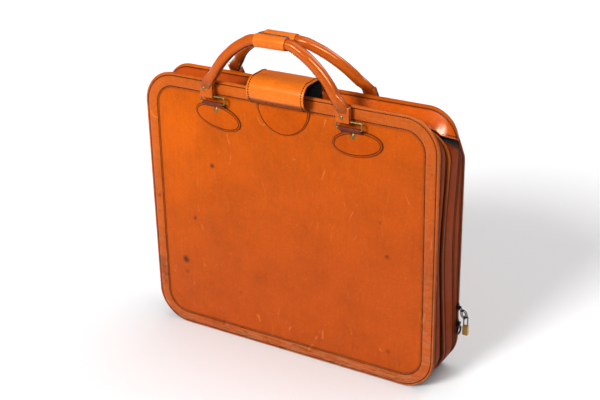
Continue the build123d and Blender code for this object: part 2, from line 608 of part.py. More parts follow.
def padlock():
    """Small padlock: a shackle through the upper pull and a body that slides on its legs."""
    pin_x, y, z = pin_place("upper")
    tilt = radians(PULL_TILT_ANGLES["upper"])
    reach = PULL_REACH + (PULL_HOLE_RADIUS + PULL_OUTER_RADIUS) / 2
    place = Pos(pin_x + reach * sin(tilt), y, z - reach * cos(tilt))
    half = SHACKLE_SPACING / 2
    legs_end = -SHACKLE_DROP - SHACKLE_SEAT
    path = Line((-half, legs_end), (-half, 0)) + ThreePointArc((-half, 0), (0, half), (half, 0))
    path = path + Line((half, 0), (half, legs_end))
    wire = Plane.XZ * path
    start = Plane(origin=(-half, 0, legs_end), z_dir=(0, 0, 1))
    save("padlock_shackle", place * sweep(start * Circle(SHACKLE_WIRE), path=wire))
    body = Box(PADLOCK_WIDTH, PADLOCK_THICKNESS, PADLOCK_HEIGHT, align=(Align.CENTER, Align.CENTER, Align.MAX))
    body = Pos(0, 0, -SHACKLE_DROP) * fillet(body.edges().filter_by(Axis.Y), PADLOCK_CORNER)
    for x in (-half, half):
        body -= Pos(x, 0, -SHACKLE_DROP) * Cylinder(
            SHACKLE_WIRE + HINGE_FIT, 2 * (SHACKLE_SEAT + SHACKLE_PLAY))
    save("padlock_body", place * body)


if __name__ == "__main__":
    front_shell()
    divider_parts()
    pocket_gusset()
    main_gusset()
    zip_tapes(lid_parts())
    for side in ("front", "rear"):
        studs = []
        for name in ("left", "right"):
            studs.append(patch_and_chape(side, name))
            wire_ring(side, name)
        save(f"{side}_studs", Compound(studs))
        handle_parts(side)
    flap_parts()
    for name in ("upper", "lower"):
        slider(name)
        pull(name)
    padlock()
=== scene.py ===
import math

import bpy
import numpy as np
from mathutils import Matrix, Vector


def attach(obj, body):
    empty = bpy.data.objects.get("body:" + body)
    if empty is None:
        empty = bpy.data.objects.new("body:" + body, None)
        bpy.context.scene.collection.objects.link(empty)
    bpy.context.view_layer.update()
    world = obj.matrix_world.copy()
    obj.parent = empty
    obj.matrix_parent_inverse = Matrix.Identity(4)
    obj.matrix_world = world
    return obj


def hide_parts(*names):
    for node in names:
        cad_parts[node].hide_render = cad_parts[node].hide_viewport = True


# Leather suitcase: looks for the frame. Sizes are millimetres in the frame's axes, until mesh_object scales them.
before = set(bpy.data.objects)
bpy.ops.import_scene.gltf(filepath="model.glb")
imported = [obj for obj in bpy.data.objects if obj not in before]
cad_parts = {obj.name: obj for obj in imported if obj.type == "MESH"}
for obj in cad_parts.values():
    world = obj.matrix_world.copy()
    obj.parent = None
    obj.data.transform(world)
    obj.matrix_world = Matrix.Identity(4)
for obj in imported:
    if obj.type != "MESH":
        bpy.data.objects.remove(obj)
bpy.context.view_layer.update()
SEED = 7
MM = 0.001

# Case
HALF = 261.0
FRONT = -47.5
FIELD = -46.5
PANEL_BACK = -43.3
FRONT_HEIGHT = 456.0
DIVIDER_HEIGHT = 424.0
LID_HEIGHT = 451.0
LOW_RADIUS = 57.0
TOP_RADIUS = 48.0
BORDER = 21.0
BAND_INSET = 1.5
PINCH = 6.5
MOUTH = 212.0
LID_TOP_Y = 17.5
ZIP_EDGE = 37.0
ZIP_START = 203.0
ZIP_TOP = 412.0
DIVIDER_LINE = [(46.5, 0.0), (34.0, 109.0), (22.5, 262.0), (34.0, 365.0), (38.0, 424.0)]
SEAM_LINE = [(80.0, 0.0), (73.0, 109.0), (63.0, 257.0), (73.5, 370.0), (77.0, 424.0)]
LID_CHAIN = [(47.5, 0.0), (47.5, 367.0), (19.5, 410.0), (17.5, 451.0)]
ZIP_LINE = [(37.0, 0.0), (37.0, 368.0), (22.5, 390.0), (-9.5, 412.5)]
ZIP_GUARD = 2.5
HEM_LINE = [(-10.5, 418.0), (19.5, 403.0)]

# Fittings
PATCHES = {"left": (-119.5, -11.0), "right": (128.0, 7.0)}
PATCH_Z = 395.5
PATCH_HALF = (43.0, 21.0)
CHAPES = {"left": -121.5, "right": 121.5}
RINGS = {"left": -122.0, "right": 119.0}
BARS = {"front": (-57.0, 421.5), "rear": (27.0, 432.0)}
BAR_SPACING = 11.5
HANDLE_RISE = 102.5
HANDLE_SPAN = 241.0
HANDLES = {"front": (-10.9, 0.0, 0.0), "rear": (-7.0, 30.0, -6.0)}
HOLDER = {"front": "case", "rear": "lid"}

# Meshes: where a filled panel's loops shrink to, and a strap's rounding as a share of its thickness
FILL_SHARE = 0.35
FILL_HEIGHT = 220.0
ROUND_EDGE = 0.35


def natural_spline(points):
    """Smooth depth against height through a few measured points."""
    y, z = np.array(points, dtype=float).T
    n = len(z)
    h = np.diff(z)
    a = np.eye(n)
    b = np.zeros(n)
    for i in range(1, n - 1):
        a[i, i - 1:i + 2] = h[i - 1], 2 * (h[i - 1] + h[i]), h[i]
        b[i] = 6 * ((y[i + 1] - y[i]) / h[i] - (y[i] - y[i - 1]) / h[i - 1])
    m = np.linalg.solve(a, b)

    def at(height):
        height = np.clip(height, z[0], z[-1])
        i = np.clip(np.searchsorted(z, height) - 1, 0, n - 2)
        low, high = z[i + 1] - height, height - z[i]
        curve = (m[i] * low ** 3 + m[i + 1] * high ** 3) / (6 * h[i])
        curve += (y[i] / h[i] - m[i] * h[i] / 6) * low + (y[i + 1] / h[i] - m[i + 1] * h[i] / 6) * high
        return FRONT + curve
    return at


divider_y = natural_spline(DIVIDER_LINE)
seam_y = natural_spline(SEAM_LINE)


def rounded_chain(points, radius, steps=8):
    """Polyline with its inner corners rounded."""
    points = [np.array(p, dtype=float) for p in points]
    out = [points[0]]
    for before, corner, after in zip(points, points[1:], points[2:]):
        a = (before - corner) / np.linalg.norm(before - corner)
        b = (after - corner) / np.linalg.norm(after - corner)
        half = math.acos(np.clip(a @ b, -1, 1)) / 2
        reach = radius / math.tan(half)
        start, end = corner + a * reach, corner + b * reach
        for t in np.linspace(0, 1, steps):
            out.append((1 - t) ** 2 * start + 2 * t * (1 - t) * corner + t ** 2 * end)
    out.append(points[-1])
    return np.array(out)


LID_CURVE = rounded_chain(LID_CHAIN, 20.0)


def lid_y(height):
    return np.interp(height, LID_CURVE[:, 1], LID_CURVE[:, 0])


def zip_y(height):
    y, z = np.array(ZIP_LINE).T
    return np.interp(height, z, y)


def outline(height, top_radius, step=3.0):
    """Points (x, z) and outward normals round the case, from the bottom's middle to the right and up."""
    w, r, t = HALF, LOW_RADIUS, top_radius
    points, normals = [], []

    def line(a, b, normal):
        count = max(2, int(math.dist(a, b) / step))
        for k in range(count):
            s = k / count
            points.append((a[0] + (b[0] - a[0]) * s, a[1] + (b[1] - a[1]) * s))
            normals.append(normal)

    def arc(cx, cz, radius, start):
        count = int(radius * math.pi / 2 / step) + 4
        for k in range(count):
            angle = math.radians(start + 90 * k / count)
            normals.append((math.cos(angle), math.sin(angle)))
            points.append((cx + radius * math.cos(angle), cz + radius * math.sin(angle)))

    line((0, 0), (w - r, 0), (0, -1))
    arc(w - r, r, r, -90)
    line((w, r), (w, height - t), (1, 0))
    arc(w - t, height - t, t, 0)
    line((w - t, height), (t - w, height), (0, 1))
    arc(t - w, height - t, t, 90)
    line((-w, height - t), (-w, r), (-1, 0))
    arc(r - w, r, r, 180)
    line((r - w, 0), (0, 0), (0, -1))
    return np.array(points), np.array(normals)


def depth_at(depth, x, z):
    """Depth is a number or a function of x and z."""
    return depth(x, z) if callable(depth) else np.full(len(x), float(depth))


def ring(shape, inset, depth):
    """Loop of 3-D points at an inset from an outline."""
    points, normals = shape
    x, z = (points - normals * inset).T
    return np.stack([x, depth_at(depth, x, z), z], axis=1)


def fill(loop, depth, steps=26):
    """Loops that shrink a closed loop towards a short middle line, for a filled panel."""
    loops = []
    middle = np.stack([loop[:, 0] * FILL_SHARE, np.full(len(loop), FILL_HEIGHT)], axis=1)
    for s in np.linspace(0, 1, steps)[1:]:
        x, z = (loop[:, [0, 2]] * (1 - s) + middle * s).T
        loops.append(np.stack([x, depth_at(depth, x, z), z], axis=1))
    return loops


def closed_path(loop):
    """A loop with its first point repeated at the end."""
    return np.vstack([loop, loop[:1]])


def extent(mask):
    """First and last index at which a mask holds."""
    return np.argmax(mask), len(mask) - np.argmax(mask[::-1]) - 1


def outside(mask):
    """Indices round a loop from behind a mask's stretch to the front of it."""
    first, last = extent(mask)
    return np.r_[last + 1:len(mask), 0:first]


def smooth(value):
    value = min(1.0, max(0.0, value))
    return value * value * (3 - 2 * value)


def bell(value, centre, width):
    return math.exp(-((value - centre) / width) ** 2)


def quads(rows, count, closed=True, flip=False):
    """Faces between rows of count points; closed joins each row's end to its start."""
    faces = []
    for j in range(rows - 1):
        for i in range(count if closed else count - 1):
            k = (i + 1) % count
            quad = (j * count + i, j * count + k, (j + 1) * count + k, (j + 1) * count + i)
            faces.append(quad[::-1] if flip else quad)
    return faces


def mesh_object(name, points, faces, seam_and_shade=None):
    name = name.replace(" ", "_")
    mesh = bpy.data.meshes.new(name)
    mesh.from_pydata((np.asarray(points) * MM).tolist(), [], faces)
    mesh.polygons.foreach_set("use_smooth", [True] * len(mesh.polygons))
    if seam_and_shade is not None:
        mesh.attributes.new("seam_and_shade", "FLOAT", "POINT").data.foreach_set("value", np.asarray(seam_and_shade, dtype=float))
    mesh.update()
    made = bpy.data.objects.new(name, mesh)
    bpy.context.scene.collection.objects.link(made)
    return made


def surface(name, loops, closed=True, flip=False, seam_and_shade=None):
    """Mesh of quads through loops of equal length; every loop has a darkness, for seams and painted shade, or one for
    each point.
    """
    count = len(loops[0])
    if seam_and_shade is not None:
        seam_and_shade = np.concatenate([np.broadcast_to(row, count) for row in seam_and_shade])
    return mesh_object(name, np.concatenate(loops), quads(len(loops), count, closed, flip), seam_and_shade)


def thicken(made, thickness, offset=-1.0):
    """Give a surface a thickness in millimetres."""
    thick = made.modifiers.new("thickness", "SOLIDIFY")
    thick.thickness = thickness * MM
    thick.offset = offset


def dress(made, body, slot, material, *nodes):
    """Material, body and the CAD nodes that the piece stands for; the slot is not used."""
    made.data.materials.append(material)
    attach(made, body)
    if nodes:
        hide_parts(*nodes)
    return made


def unit(v):
    return v / np.maximum(np.linalg.norm(v, axis=-1, keepdims=True), 1e-9)


def points_at(path, choose):
    """Points along a path, at the distances that choose gives for its length."""
    path = np.asarray(path, dtype=float)
    length = np.concatenate([[0], np.cumsum(np.linalg.norm(np.diff(path, axis=0), axis=1))])
    at = choose(length[-1])
    return np.stack([np.interp(at, length, column) for column in path.T], axis=1)


def resample(path, spacing):
    """Points at an even spacing along a path, half a spacing in from its ends."""
    def spaced(whole):
        count = max(2, int(whole / spacing))
        return (np.arange(count) + 0.5) * whole / count
    return points_at(path, spaced)


def resample_fixed(path, count):
    """The same path with a set number of points, both ends kept."""
    return points_at(path, lambda whole: np.linspace(0, whole, count))


def lathe(profile, sides=32):
    """Points and faces of a revolved profile (radius, height) about local Z."""
    points = []
    for r, h in profile:
        for k in range(sides):
            angle = 2 * math.pi * k / sides
            points.append((r * math.cos(angle), r * math.sin(angle), h))
    return np.array(points), quads(len(profile), sides)


def capsule():
    """Unit capsule along its first axis: points and faces."""
    points, faces = lathe([(0.0, -1.0), (0.55, -0.92), (1.0, -0.6), (1.0, 0.6), (0.55, 0.92), (0.0, 1.0)], 6)
    return points[:, [2, 0, 1]], faces


def scatter(name, centres, along, up, size, jitter=0.0):
    """Copies of a capsule, size (half length, half width, half height), merged into one mesh."""
    rng = np.random.default_rng(SEED)
    template, template_faces = capsule()
    along = unit(along)
    side = unit(np.cross(up, along))
    up = unit(np.cross(along, side))
    if jitter:
        turn = rng.normal(0, jitter, len(centres))[:, None]
        along, side = unit(along + side * turn), unit(side - along * turn)
    parts = centres[:, None, :] + (
        template[None, :, 0:1] * along[:, None, :] * size[0]
        + template[None, :, 1:2] * side[:, None, :] * size[1]
        + template[None, :, 2:3] * up[:, None, :] * size[2])
    k = len(template)
    faces = [tuple(v + i * k for v in face) for i in range(len(centres)) for face in template_faces]
    return mesh_object(name, parts.reshape(-1, 3), faces)


def stitches(name, paths, ups, body, material, pitch=3.9, length=2.3, width=1.0):
    """Thread stitches along paths; each path has an up direction or one for each point."""
    centres, along, up = [], [], []
    for path, direction in zip(paths, ups):
        path = np.asarray(path, dtype=float)
        direction = np.broadcast_to(np.asarray(direction, dtype=float), path.shape)
        both = resample(np.concatenate([path, direction], axis=1), pitch)
        tangent = np.gradient(both[:, :3], axis=0)
        centres.append(both[:, :3])
        along.append(tangent)
        up.append(both[:, 3:])
    made = scatter(name, np.concatenate(centres), np.concatenate(along), np.concatenate(up),
                   (length / 2, width, width * 0.8), jitter=0.05)
    return dress(made, body, "brown_leather", material)


def ribbon(name, path, low, high, thickness, columns=2, lift=None, seam_and_shade=None, place=None):
    """Strap of a thickness along a path in (y, z), as wide as low to high along X, with rounded edges.

    Lift moves a point out by its x and its share of the path, the darkness of seams and painted shade is given for
    a share, and place moves the whole strap.
    """
    path = np.asarray(path, dtype=float)
    tangent = unit(np.gradient(path, axis=0))
    normal = np.stack([-tangent[:, 1], tangent[:, 0]], axis=1)
    half = thickness / 2
    soft = ROUND_EDGE * thickness
    flat = [(x, half) for x in np.linspace(low + soft, high - soft, columns)]
    side = [(0.3 * soft, half - 0.3 * soft), (0.0, half - soft), (0.0, soft - half), (0.3 * soft, 0.3 * soft - half)]
    section = np.array(flat + [(high - x, z) for x, z in side] + [(x, -z) for x, z in flat[::-1]]
                       + [(low + x, z) for x, z in side[::-1]])
    shares = [index / (len(path) - 1) for index in range(len(path))]
    loops = []
    for share, point, out in zip(shares, path, normal):
        offset = section[:, 1] + (0.0 if lift is None else lift(section[:, 0], share))
        loops.append(np.stack([section[:, 0], point[0] + out[0] * offset, point[1] + out[1] * offset], axis=1))
    points = np.concatenate(loops)
    count, total = len(section), len(points)
    faces = quads(len(path), count) + [tuple(range(count))[::-1], tuple(range(total - count, total))]
    rows = None if seam_and_shade is None else np.repeat([seam_and_shade(share) for share in shares], count)
    made = mesh_object(name, points if place is None else on(place, points), faces, rows)
    made.data.polygons.foreach_set("use_smooth", [len(face) == 4 for face in faces])
    return made


def on(place, points):
    """Points moved by a 4x4 place."""
    points = np.asarray(points, dtype=float)
    return points @ place[:3, :3].T + place[:3, 3]


def placed(name, template, places):
    """One mesh with a template at several 4x4 places."""
    base, base_faces = template
    faces = [tuple(v + k * len(base) for v in face) for k in range(len(places)) for face in base_faces]
    return mesh_object(name, np.concatenate([on(place, base) for place in places]), faces)


def wire(name, path, radius, sides=16):
    """Round wire along a closed 3-D path."""
    tangent = unit(np.roll(path, -1, axis=0) - np.roll(path, 1, axis=0))
    plane_normal = unit(np.cross(path[1] - path[0], path[len(path) // 3] - path[0]))
    side = unit(np.cross(tangent, plane_normal))
    loops = []
    for k in range(sides):
        angle = 2 * math.pi * k / sides
        loops.append(path + side * radius * math.cos(angle) + plane_normal * radius * math.sin(angle))
    return surface(name, loops + loops[:1])


# Materials
class Nodes:
    """Small helper that adds and links shader nodes."""

    def __init__(self, name):
        self.material = bpy.data.materials.new(name)
        self.material.use_nodes = True
        self.tree = self.material.node_tree
        self.shader = self.tree.nodes["Principled BSDF"]
        self.place = self.add("ShaderNodeTexCoord").outputs["Object"]

    def add(self, kind, inputs=None, **settings):
        node = self.tree.nodes.new(kind)
        for key, value in settings.items():
            setattr(node, key, value)
        self.fill(node, inputs or {})
        return node

    def fill(self, node, inputs):
        """Link or set a node's inputs."""
        for key, value in inputs.items():
            if isinstance(value, bpy.types.NodeSocket):
                self.tree.links.new(value, node.inputs[key])
            else:
                node.inputs[key].default_value = value

    def scaled(self, scale, turn=(0, 0, 0)):
        return self.add("ShaderNodeMapping", {"Vector": self.place, "Scale": scale, "Rotation": turn}).outputs[0]

    def noise(self, scale, detail=4.0, rough=0.55, vector=None, stretch=None, turn=(0, 0, 0)):
        vector = vector or (self.scaled(stretch, turn) if stretch else self.place)
        return self.add("ShaderNodeTexNoise", {"Vector": vector, "Scale": scale, "Detail": detail,
                                               "Roughness": rough}).outputs["Fac"]

    def ramp(self, value, low, high, out_low=0.0, out_high=1.0):
        return self.add("ShaderNodeMapRange", {"Value": value, "From Min": low, "From Max": high, "To Min": out_low,
                                               "To Max": out_high}).outputs[0]

    def math(self, operation, a, b=0.0):
        return self.add("ShaderNodeMath", {0: a, 1: b}, operation=operation).outputs[0]

    def mix(self, share, a, b, blend="MIX"):
        return self.add("ShaderNodeMix", {0: share, 6: a, 7: b}, data_type="RGBA", blend_type=blend).outputs[2]

    @staticmethod
    def blend_of(a, b, share):
        return tuple(x * (1 - share) + y * share for x, y in zip(a[:3], b[:3])) + (1.0,)

    def attribute(self, name):
        return self.add("ShaderNodeAttribute", attribute_name=name).outputs["Fac"]

    def axis(self, index):
        return self.add("ShaderNodeSeparateXYZ", {0: self.place}).outputs[index]

    def bump(self, layers):
        """Chain of bumps: (height, strength, distance in metres)."""
        normal = None
        for height, strength, distance in layers:
            inputs = {"Height": height, "Strength": strength, "Distance": distance}
            if normal is not None:
                inputs["Normal"] = normal
            normal = self.add("ShaderNodeBump", inputs).outputs[0]
        self.tree.links.new(normal, self.shader.inputs["Normal"])

    def set(self, **inputs):
        self.fill(self.shader, {key.replace("_", " "): value for key, value in inputs.items()})
        return self.material


def rgb(r, g, b):
    return (r, g, b, 1.0)


def leather(name, bright, deep_and_shaded, dark, gloss=0.42, specular=0.5, ior=1.45, painted_shade=None, edge_wear=0.0, marks=0.0,
            spots=(), tint=0.8):
    """Waxed leather: mottled colour, dyed seams, pale scratches, dark spots, fibres, wrinkles and fine pores.

    The painted shade range gives the levels in metres, of height less 0.45 of x with some noise, between which the
    colour turns from deep to bright as painted light and shade; marks and edge_wear are strengths, spots are (x, z,
    radius in millimetres, strength), tint is the share of tan in the highlights.
    """
    n = Nodes(name)
    patches = n.ramp(n.noise(6.0, 3.0), 0.38, 0.62)
    colour = n.mix(patches, bright, n.blend_of(bright, deep_and_shaded, 0.5)[:2] + (bright[2], 1.0))
    # Painted light and shade: brighter higher up and to the left, deeper lower down and to the right, or the reverse
    # for a falling range
    if painted_shade:
        painted_light_level = n.math("ADD", n.axis(2), n.math("MULTIPLY", n.axis(0), -0.45))
        painted_light_level = n.math("ADD", painted_light_level, n.math("MULTIPLY", n.noise(5.0, 3.0), 0.22))
        colour = n.mix(n.ramp(painted_light_level, painted_shade[0], painted_shade[1], 1.0, 0.0), colour, deep_and_shaded)
    cloud = n.ramp(n.noise(15.0, 8.0, 0.72), 0.42, 0.70)
    colour = n.mix(n.math("MULTIPLY", cloud, 0.26), colour, dark)
    fibre = n.ramp(n.noise(300.0, 4.0, 0.75), 0.38, 0.72)
    colour = n.mix(n.math("MULTIPLY", fibre, 0.20), colour, dark)
    streak = n.ramp(n.noise(1.0, 4.0, 0.7, stretch=(170.0, 170.0, 22.0)), 0.45, 0.75)
    colour = n.mix(n.math("MULTIPLY", streak, 0.13), colour, dark)
    pale_tone = n.blend_of(bright, (1.0, 0.42, 0.03), 0.4)
    pale = n.ramp(n.noise(230.0, 5.0, 0.7), 0.56, 0.74)
    colour = n.mix(n.math("MULTIPLY", pale, 0.22), colour, pale_tone)
    for scale, turn in ((9.0, 0.5), (15.0, -0.7)) if marks else ():
        line = n.noise(scale, 1.0, 0.5, stretch=(1.5, 1.0, 0.45), turn=(0.0, turn, 0.0))
        thin = n.ramp(n.math("ABSOLUTE", n.math("SUBTRACT", line, 0.5)), 0.0, 0.0065, 1.0, 0.0)
        patch = n.ramp(n.noise(19.0 + scale, 3.0), 0.575, 0.64)
        colour = n.mix(n.math("MULTIPLY", n.math("MULTIPLY", thin, patch), marks), colour, rgb(0.85, 0.30, 0.09))
    for x, z, radius, strength in spots:
        middle = (x * MM, FRONT * MM, z * MM)
        far = n.add("ShaderNodeVectorMath", {0: n.place, 1: middle}, operation="DISTANCE").outputs["Value"]
        far = n.math("ADD", far, n.math("MULTIPLY", n.noise(330.0, 2.0), 0.8 * radius * MM))
        near = n.ramp(far, radius * MM, 2.1 * radius * MM, strength, 0.0)
        colour = n.mix(near, colour, n.blend_of(dark, (0.03, 0.02, 0.015), 0.6))
    if edge_wear:
        bottom = n.ramp(n.axis(2), 0.008, 0.034, 1.0, 0.12)
        low = n.math("MAXIMUM", bottom, n.ramp(n.axis(2), 0.10, 0.26, 0.40, 0.12))
        right = n.ramp(n.axis(0), -0.20, 0.24, 0.45, 1.0)
        worn = n.math("MULTIPLY", low, right)
        worn = n.math("MULTIPLY", worn, n.ramp(n.noise(1.0, 8.0, 0.75, stretch=(34.0, 70.0, 150.0)), 0.44, 0.58))
        colour = n.mix(n.math("MULTIPLY", worn, edge_wear), colour, rgb(0.40, 0.155, 0.062))
        scuffs = n.math("MULTIPLY", low, n.ramp(n.noise(1.0, 6.0, 0.75, stretch=(55.0, 90.0, 260.0)), 0.53, 0.62))
        colour = n.mix(n.math("MULTIPLY", scuffs, 0.8 * edge_wear), colour, dark)
    # Darker seams, edges and grooves, and painted shade in folds, creases and undersides, from the mesh attribute
    colour = n.mix(n.math("MULTIPLY", n.attribute("seam_and_shade"), 0.9), colour, dark)
    pores = n.add("ShaderNodeTexVoronoi", {"Vector": n.place, "Scale": 950.0, "Randomness": 1.0}).outputs["Distance"]
    wrinkles = n.noise(120.0, 5.0, 0.6)
    n.bump([(n.noise(22.0, 2.0), 0.3, 0.004), (wrinkles, 0.3, 0.0007), (pores, 0.25, 0.00025)])
    rough = n.ramp(n.noise(26.0, 4.0), 0.3, 0.7, gloss - 0.07, gloss + 0.09)
    return n.set(Base_Color=colour, Roughness=rough, Specular_IOR_Level=specular, IOR=ior,
                 Specular_Tint=n.blend_of((1.0, 1.0, 1.0), (1.0, 0.38, 0.03), tint))


def cloth(name, colour, lighter, sheen=0.3):
    """Plain woven cloth."""
    n = Nodes(name)
    threads = [n.add("ShaderNodeTexWave", {"Vector": n.place, "Scale": 320.0, "Distortion": 0.4},
                     bands_direction=axis).outputs["Fac"] for axis in "XZ"]
    weave = n.math("MULTIPLY", *threads)
    tone = n.mix(n.math("MULTIPLY", weave, 0.7), colour, lighter)
    tone = n.mix(n.ramp(n.noise(30.0), 0.35, 0.7, 0.0, 0.4), tone, colour)
    n.bump([(weave, 0.4, 0.0003)])
    return n.set(Base_Color=tone, Roughness=0.85, Sheen_Weight=sheen)


def metal(name, colour, dull, rough, metallic=1.0, wear=0.5, specular=0.5):
    """Metal with tarnish in clouds and fine scratches."""
    n = Nodes(name)
    cloud = n.ramp(n.noise(240.0, 5.0, 0.6), 0.35, 0.7)
    tone = n.mix(n.math("MULTIPLY", cloud, wear), colour, dull)
    marks = n.noise(1.0, 2.0, 0.5, stretch=(2600, 2600, 180), turn=(0.4, 0.6, 0.2))
    n.bump([(marks, 0.08, 0.0002), (n.noise(700.0, 3.0), 0.1, 0.0002)])
    return n.set(Base_Color=tone, Metallic=metallic, Roughness=n.ramp(cloud, 0.0, 1.0, rough, rough + 0.22),
                 Specular_IOR_Level=specular)


# Dark spots on the front panel and its border: x, z, radius and strength
SPOTS = [(-136.8, 308.4, 3.4, 0.75), (-201.2, 124.0, 5.2, 0.9), (-200.0, 101.0, 3.0, 0.4), (-177.0, 206.6, 3.0, 0.6),
         (179.1, 221.2, 3.0, 0.6), (182.9, 54.1, 3.2, 0.4), (-92.0, 88.0, 2.6, 0.3), (166.6, 275.6, 2.2, 0.4)]
BORDER_SPOTS = [(-247.0, 234.0, 3.0, 0.6), (-249.0, 205.0, 2.4, 0.4), (-249.5, 114.0, 5.0, 0.35),
                (-249.0, 105.0, 5.5, 0.4), (-248.5, 96.0, 5.5, 0.4), (-248.0, 87.0, 5.5, 0.4),
                (-247.0, 78.0, 5.0, 0.35), (-246.0, 70.0, 4.0, 0.3)]
# The painted shade ranges make the panels, border and patches deeper towards the lower right and the strip deeper
# towards the left
TAN = leather("tan panel leather", rgb(0.67, 0.112, 0.0), rgb(0.43, 0.065, 0.008), rgb(0.085, 0.015, 0.003),
              gloss=0.46, specular=0.3, painted_shade=(0.25, 0.66), marks=0.27, spots=SPOTS, tint=1.0)
TAN_BORDER = leather("tan border leather", rgb(0.62, 0.110, 0.004), rgb(0.43, 0.072, 0.010), rgb(0.07, 0.014, 0.005),
                     gloss=0.30, specular=0.5, painted_shade=(0.22, 0.62), edge_wear=0.9, marks=0.4, tint=0.85,
                     spots=BORDER_SPOTS)
TAN_PATCH = leather("tan patch leather", rgb(0.62, 0.096, 0.0), rgb(0.40, 0.053, 0.003), rgb(0.05, 0.010, 0.004),
                    gloss=0.40, specular=0.38, painted_shade=(0.36, 0.56), tint=1.0)
TAN_STRAP = leather("tan strap leather", rgb(0.84, 0.19, 0.008), rgb(0.66, 0.125, 0.008), rgb(0.08, 0.015, 0.005),
                    gloss=0.30, specular=0.6, tint=0.7)
TAN_STRIP = leather("tan strip leather", rgb(0.84, 0.130, 0.002), rgb(0.50, 0.064, 0.002), rgb(0.06, 0.011, 0.004),
                    gloss=0.17, specular=0.9, tint=0.45, painted_shade=(0.62, 0.50))
HANDLE_TAN = leather("tan handle leather", rgb(0.62, 0.105, 0.003), rgb(0.42, 0.062, 0.004), rgb(0.05, 0.010, 0.005),
                     gloss=0.20, specular=0.65, tint=0.75)
# The rim's very dark deep colour is painted shade on its lower parts
RIM = leather("rim leather", rgb(0.62, 0.130, 0.008), rgb(0.135, 0.024, 0.007), rgb(0.018, 0.005, 0.003),
              gloss=0.36, specular=0.4, painted_shade=(0.26, 0.36))
BROWN = leather("brown leather", rgb(0.31, 0.048, 0.007), rgb(0.22, 0.031, 0.005), rgb(0.016, 0.004, 0.002),
                gloss=0.40, specular=0.12, ior=1.15)
DARK = leather("dark folded leather", rgb(0.06, 0.011, 0.005), rgb(0.035, 0.007, 0.004), rgb(0.012, 0.004, 0.003),
               gloss=0.5, specular=0.2, ior=1.18)
CHAPE = leather("dark strap leather", rgb(0.17, 0.034, 0.018), rgb(0.10, 0.020, 0.012), rgb(0.015, 0.005, 0.004),
                gloss=0.36, specular=0.4, ior=1.3)
THREAD = leather("stitch thread", rgb(0.020, 0.007, 0.004), rgb(0.013, 0.005, 0.003), rgb(0.008, 0.003, 0.002),
                 gloss=0.6, specular=0.2, ior=1.2)
LINING = cloth("lining cloth", rgb(0.010, 0.009, 0.009), rgb(0.028, 0.026, 0.025), sheen=0.08)
TAPE = cloth("zip tape", rgb(0.006, 0.006, 0.007), rgb(0.018, 0.018, 0.020), sheen=0.03)
BRASS = metal("antique brass", rgb(0.34, 0.24, 0.085), rgb(0.05, 0.04, 0.02), 0.28, wear=0.8)
STEEL = metal("plated steel", rgb(0.55, 0.54, 0.53), rgb(0.25, 0.245, 0.24), 0.2, wear=0.5)
DARK_STEEL = metal("dark shackle steel", rgb(0.13, 0.127, 0.13), rgb(0.05, 0.049, 0.05), 0.22, wear=0.5)
LOCK_BRASS = metal("padlock brass", rgb(0.56, 0.36, 0.11), rgb(0.30, 0.19, 0.07), 0.30, wear=0.5)
BLACK = metal("black lacquer", rgb(0.006, 0.006, 0.006), rgb(0.014, 0.013, 0.012), 0.3, metallic=0.0, specular=0.12)
BOARD = cloth("pressed board", rgb(0.16, 0.11, 0.07), rgb(0.22, 0.16, 0.10))


# Front panel: a slightly crowned field and a padded border between two stitched lines
def field_depth(x, z):
    crown = 1.1 * np.clip(1 - (x / 245) ** 2, 0, 1) * np.clip(1 - ((z - 225) / 215) ** 2, 0, 1)
    waves = 0.35 * np.sin(x / 61 + 0.6) * np.sin(z / 47 + 1.1) + 0.2 * np.sin(x / 23 + z / 35)
    edge = np.clip(np.minimum(240 - np.abs(x), np.minimum(z - BORDER, FRONT_HEIGHT - BORDER - z)) / 40, 0, 1)
    return FIELD - (crown + waves) * edge


front_shape = outline(FRONT_HEIGHT, LOW_RADIUS)
OUTER_STITCH, INNER_STITCH, BORDER_EDGE = 4.4, 20.6, 22.2
BORDER_FACE = -47.6


def front_ring(inset, depth):
    """Loop on the front panel; its border widens a little towards the top."""
    points, normals = front_shape
    wider = inset * (1.0 + 0.11 * np.clip((points[:, 1] - 150.0) / 250.0, 0, 1))
    return ring((points - normals * wider[:, None], normals), 0.0, depth)


def border_parts():
    """Profile (inset, depth) and seam darkness of the padded border."""
    steps = [(3.0, PANEL_BACK + 0.2, 0.7), (1.0, PANEL_BACK + 0.1, 0.7), (0.25, -44.2, 0.6), (0.0, -45.2, 0.35),
             (0.3, -46.2, 0.15), (0.9, -47.0, 0.05), (1.8, -47.45, 0.0), (2.8, BORDER_FACE, 0.0)]
    for middle, crown in ((OUTER_STITCH, 0.55), (INNER_STITCH, 0.5)):
        for shift in (-1.0, -0.6, -0.3, 0.0, 0.3, 0.6, 1.0):
            dip = bell(shift, 0.0, 0.45)
            steps.append((middle + shift, BORDER_FACE + crown * dip, 0.9 * bell(shift, 0.0, 0.62)))
    for share in np.linspace(0.03, 0.97, 14):
        inset = OUTER_STITCH + 1.2 + share * (INNER_STITCH - OUTER_STITCH - 2.4)
        steps.append((inset, BORDER_FACE - 1.05 * math.sin(math.pi * share) ** 0.5, 0.0))
    steps += [(BORDER_EDGE - 0.35, -47.5, 0.1), (BORDER_EDGE - 0.05, -47.2, 0.6), (BORDER_EDGE, -46.3, 1.0)]
    steps = sorted(steps[:3], key=lambda p: -p[0]) + sorted(steps[3:], key=lambda p: p[0])
    return [p[:2] for p in steps], [p[2] for p in steps]


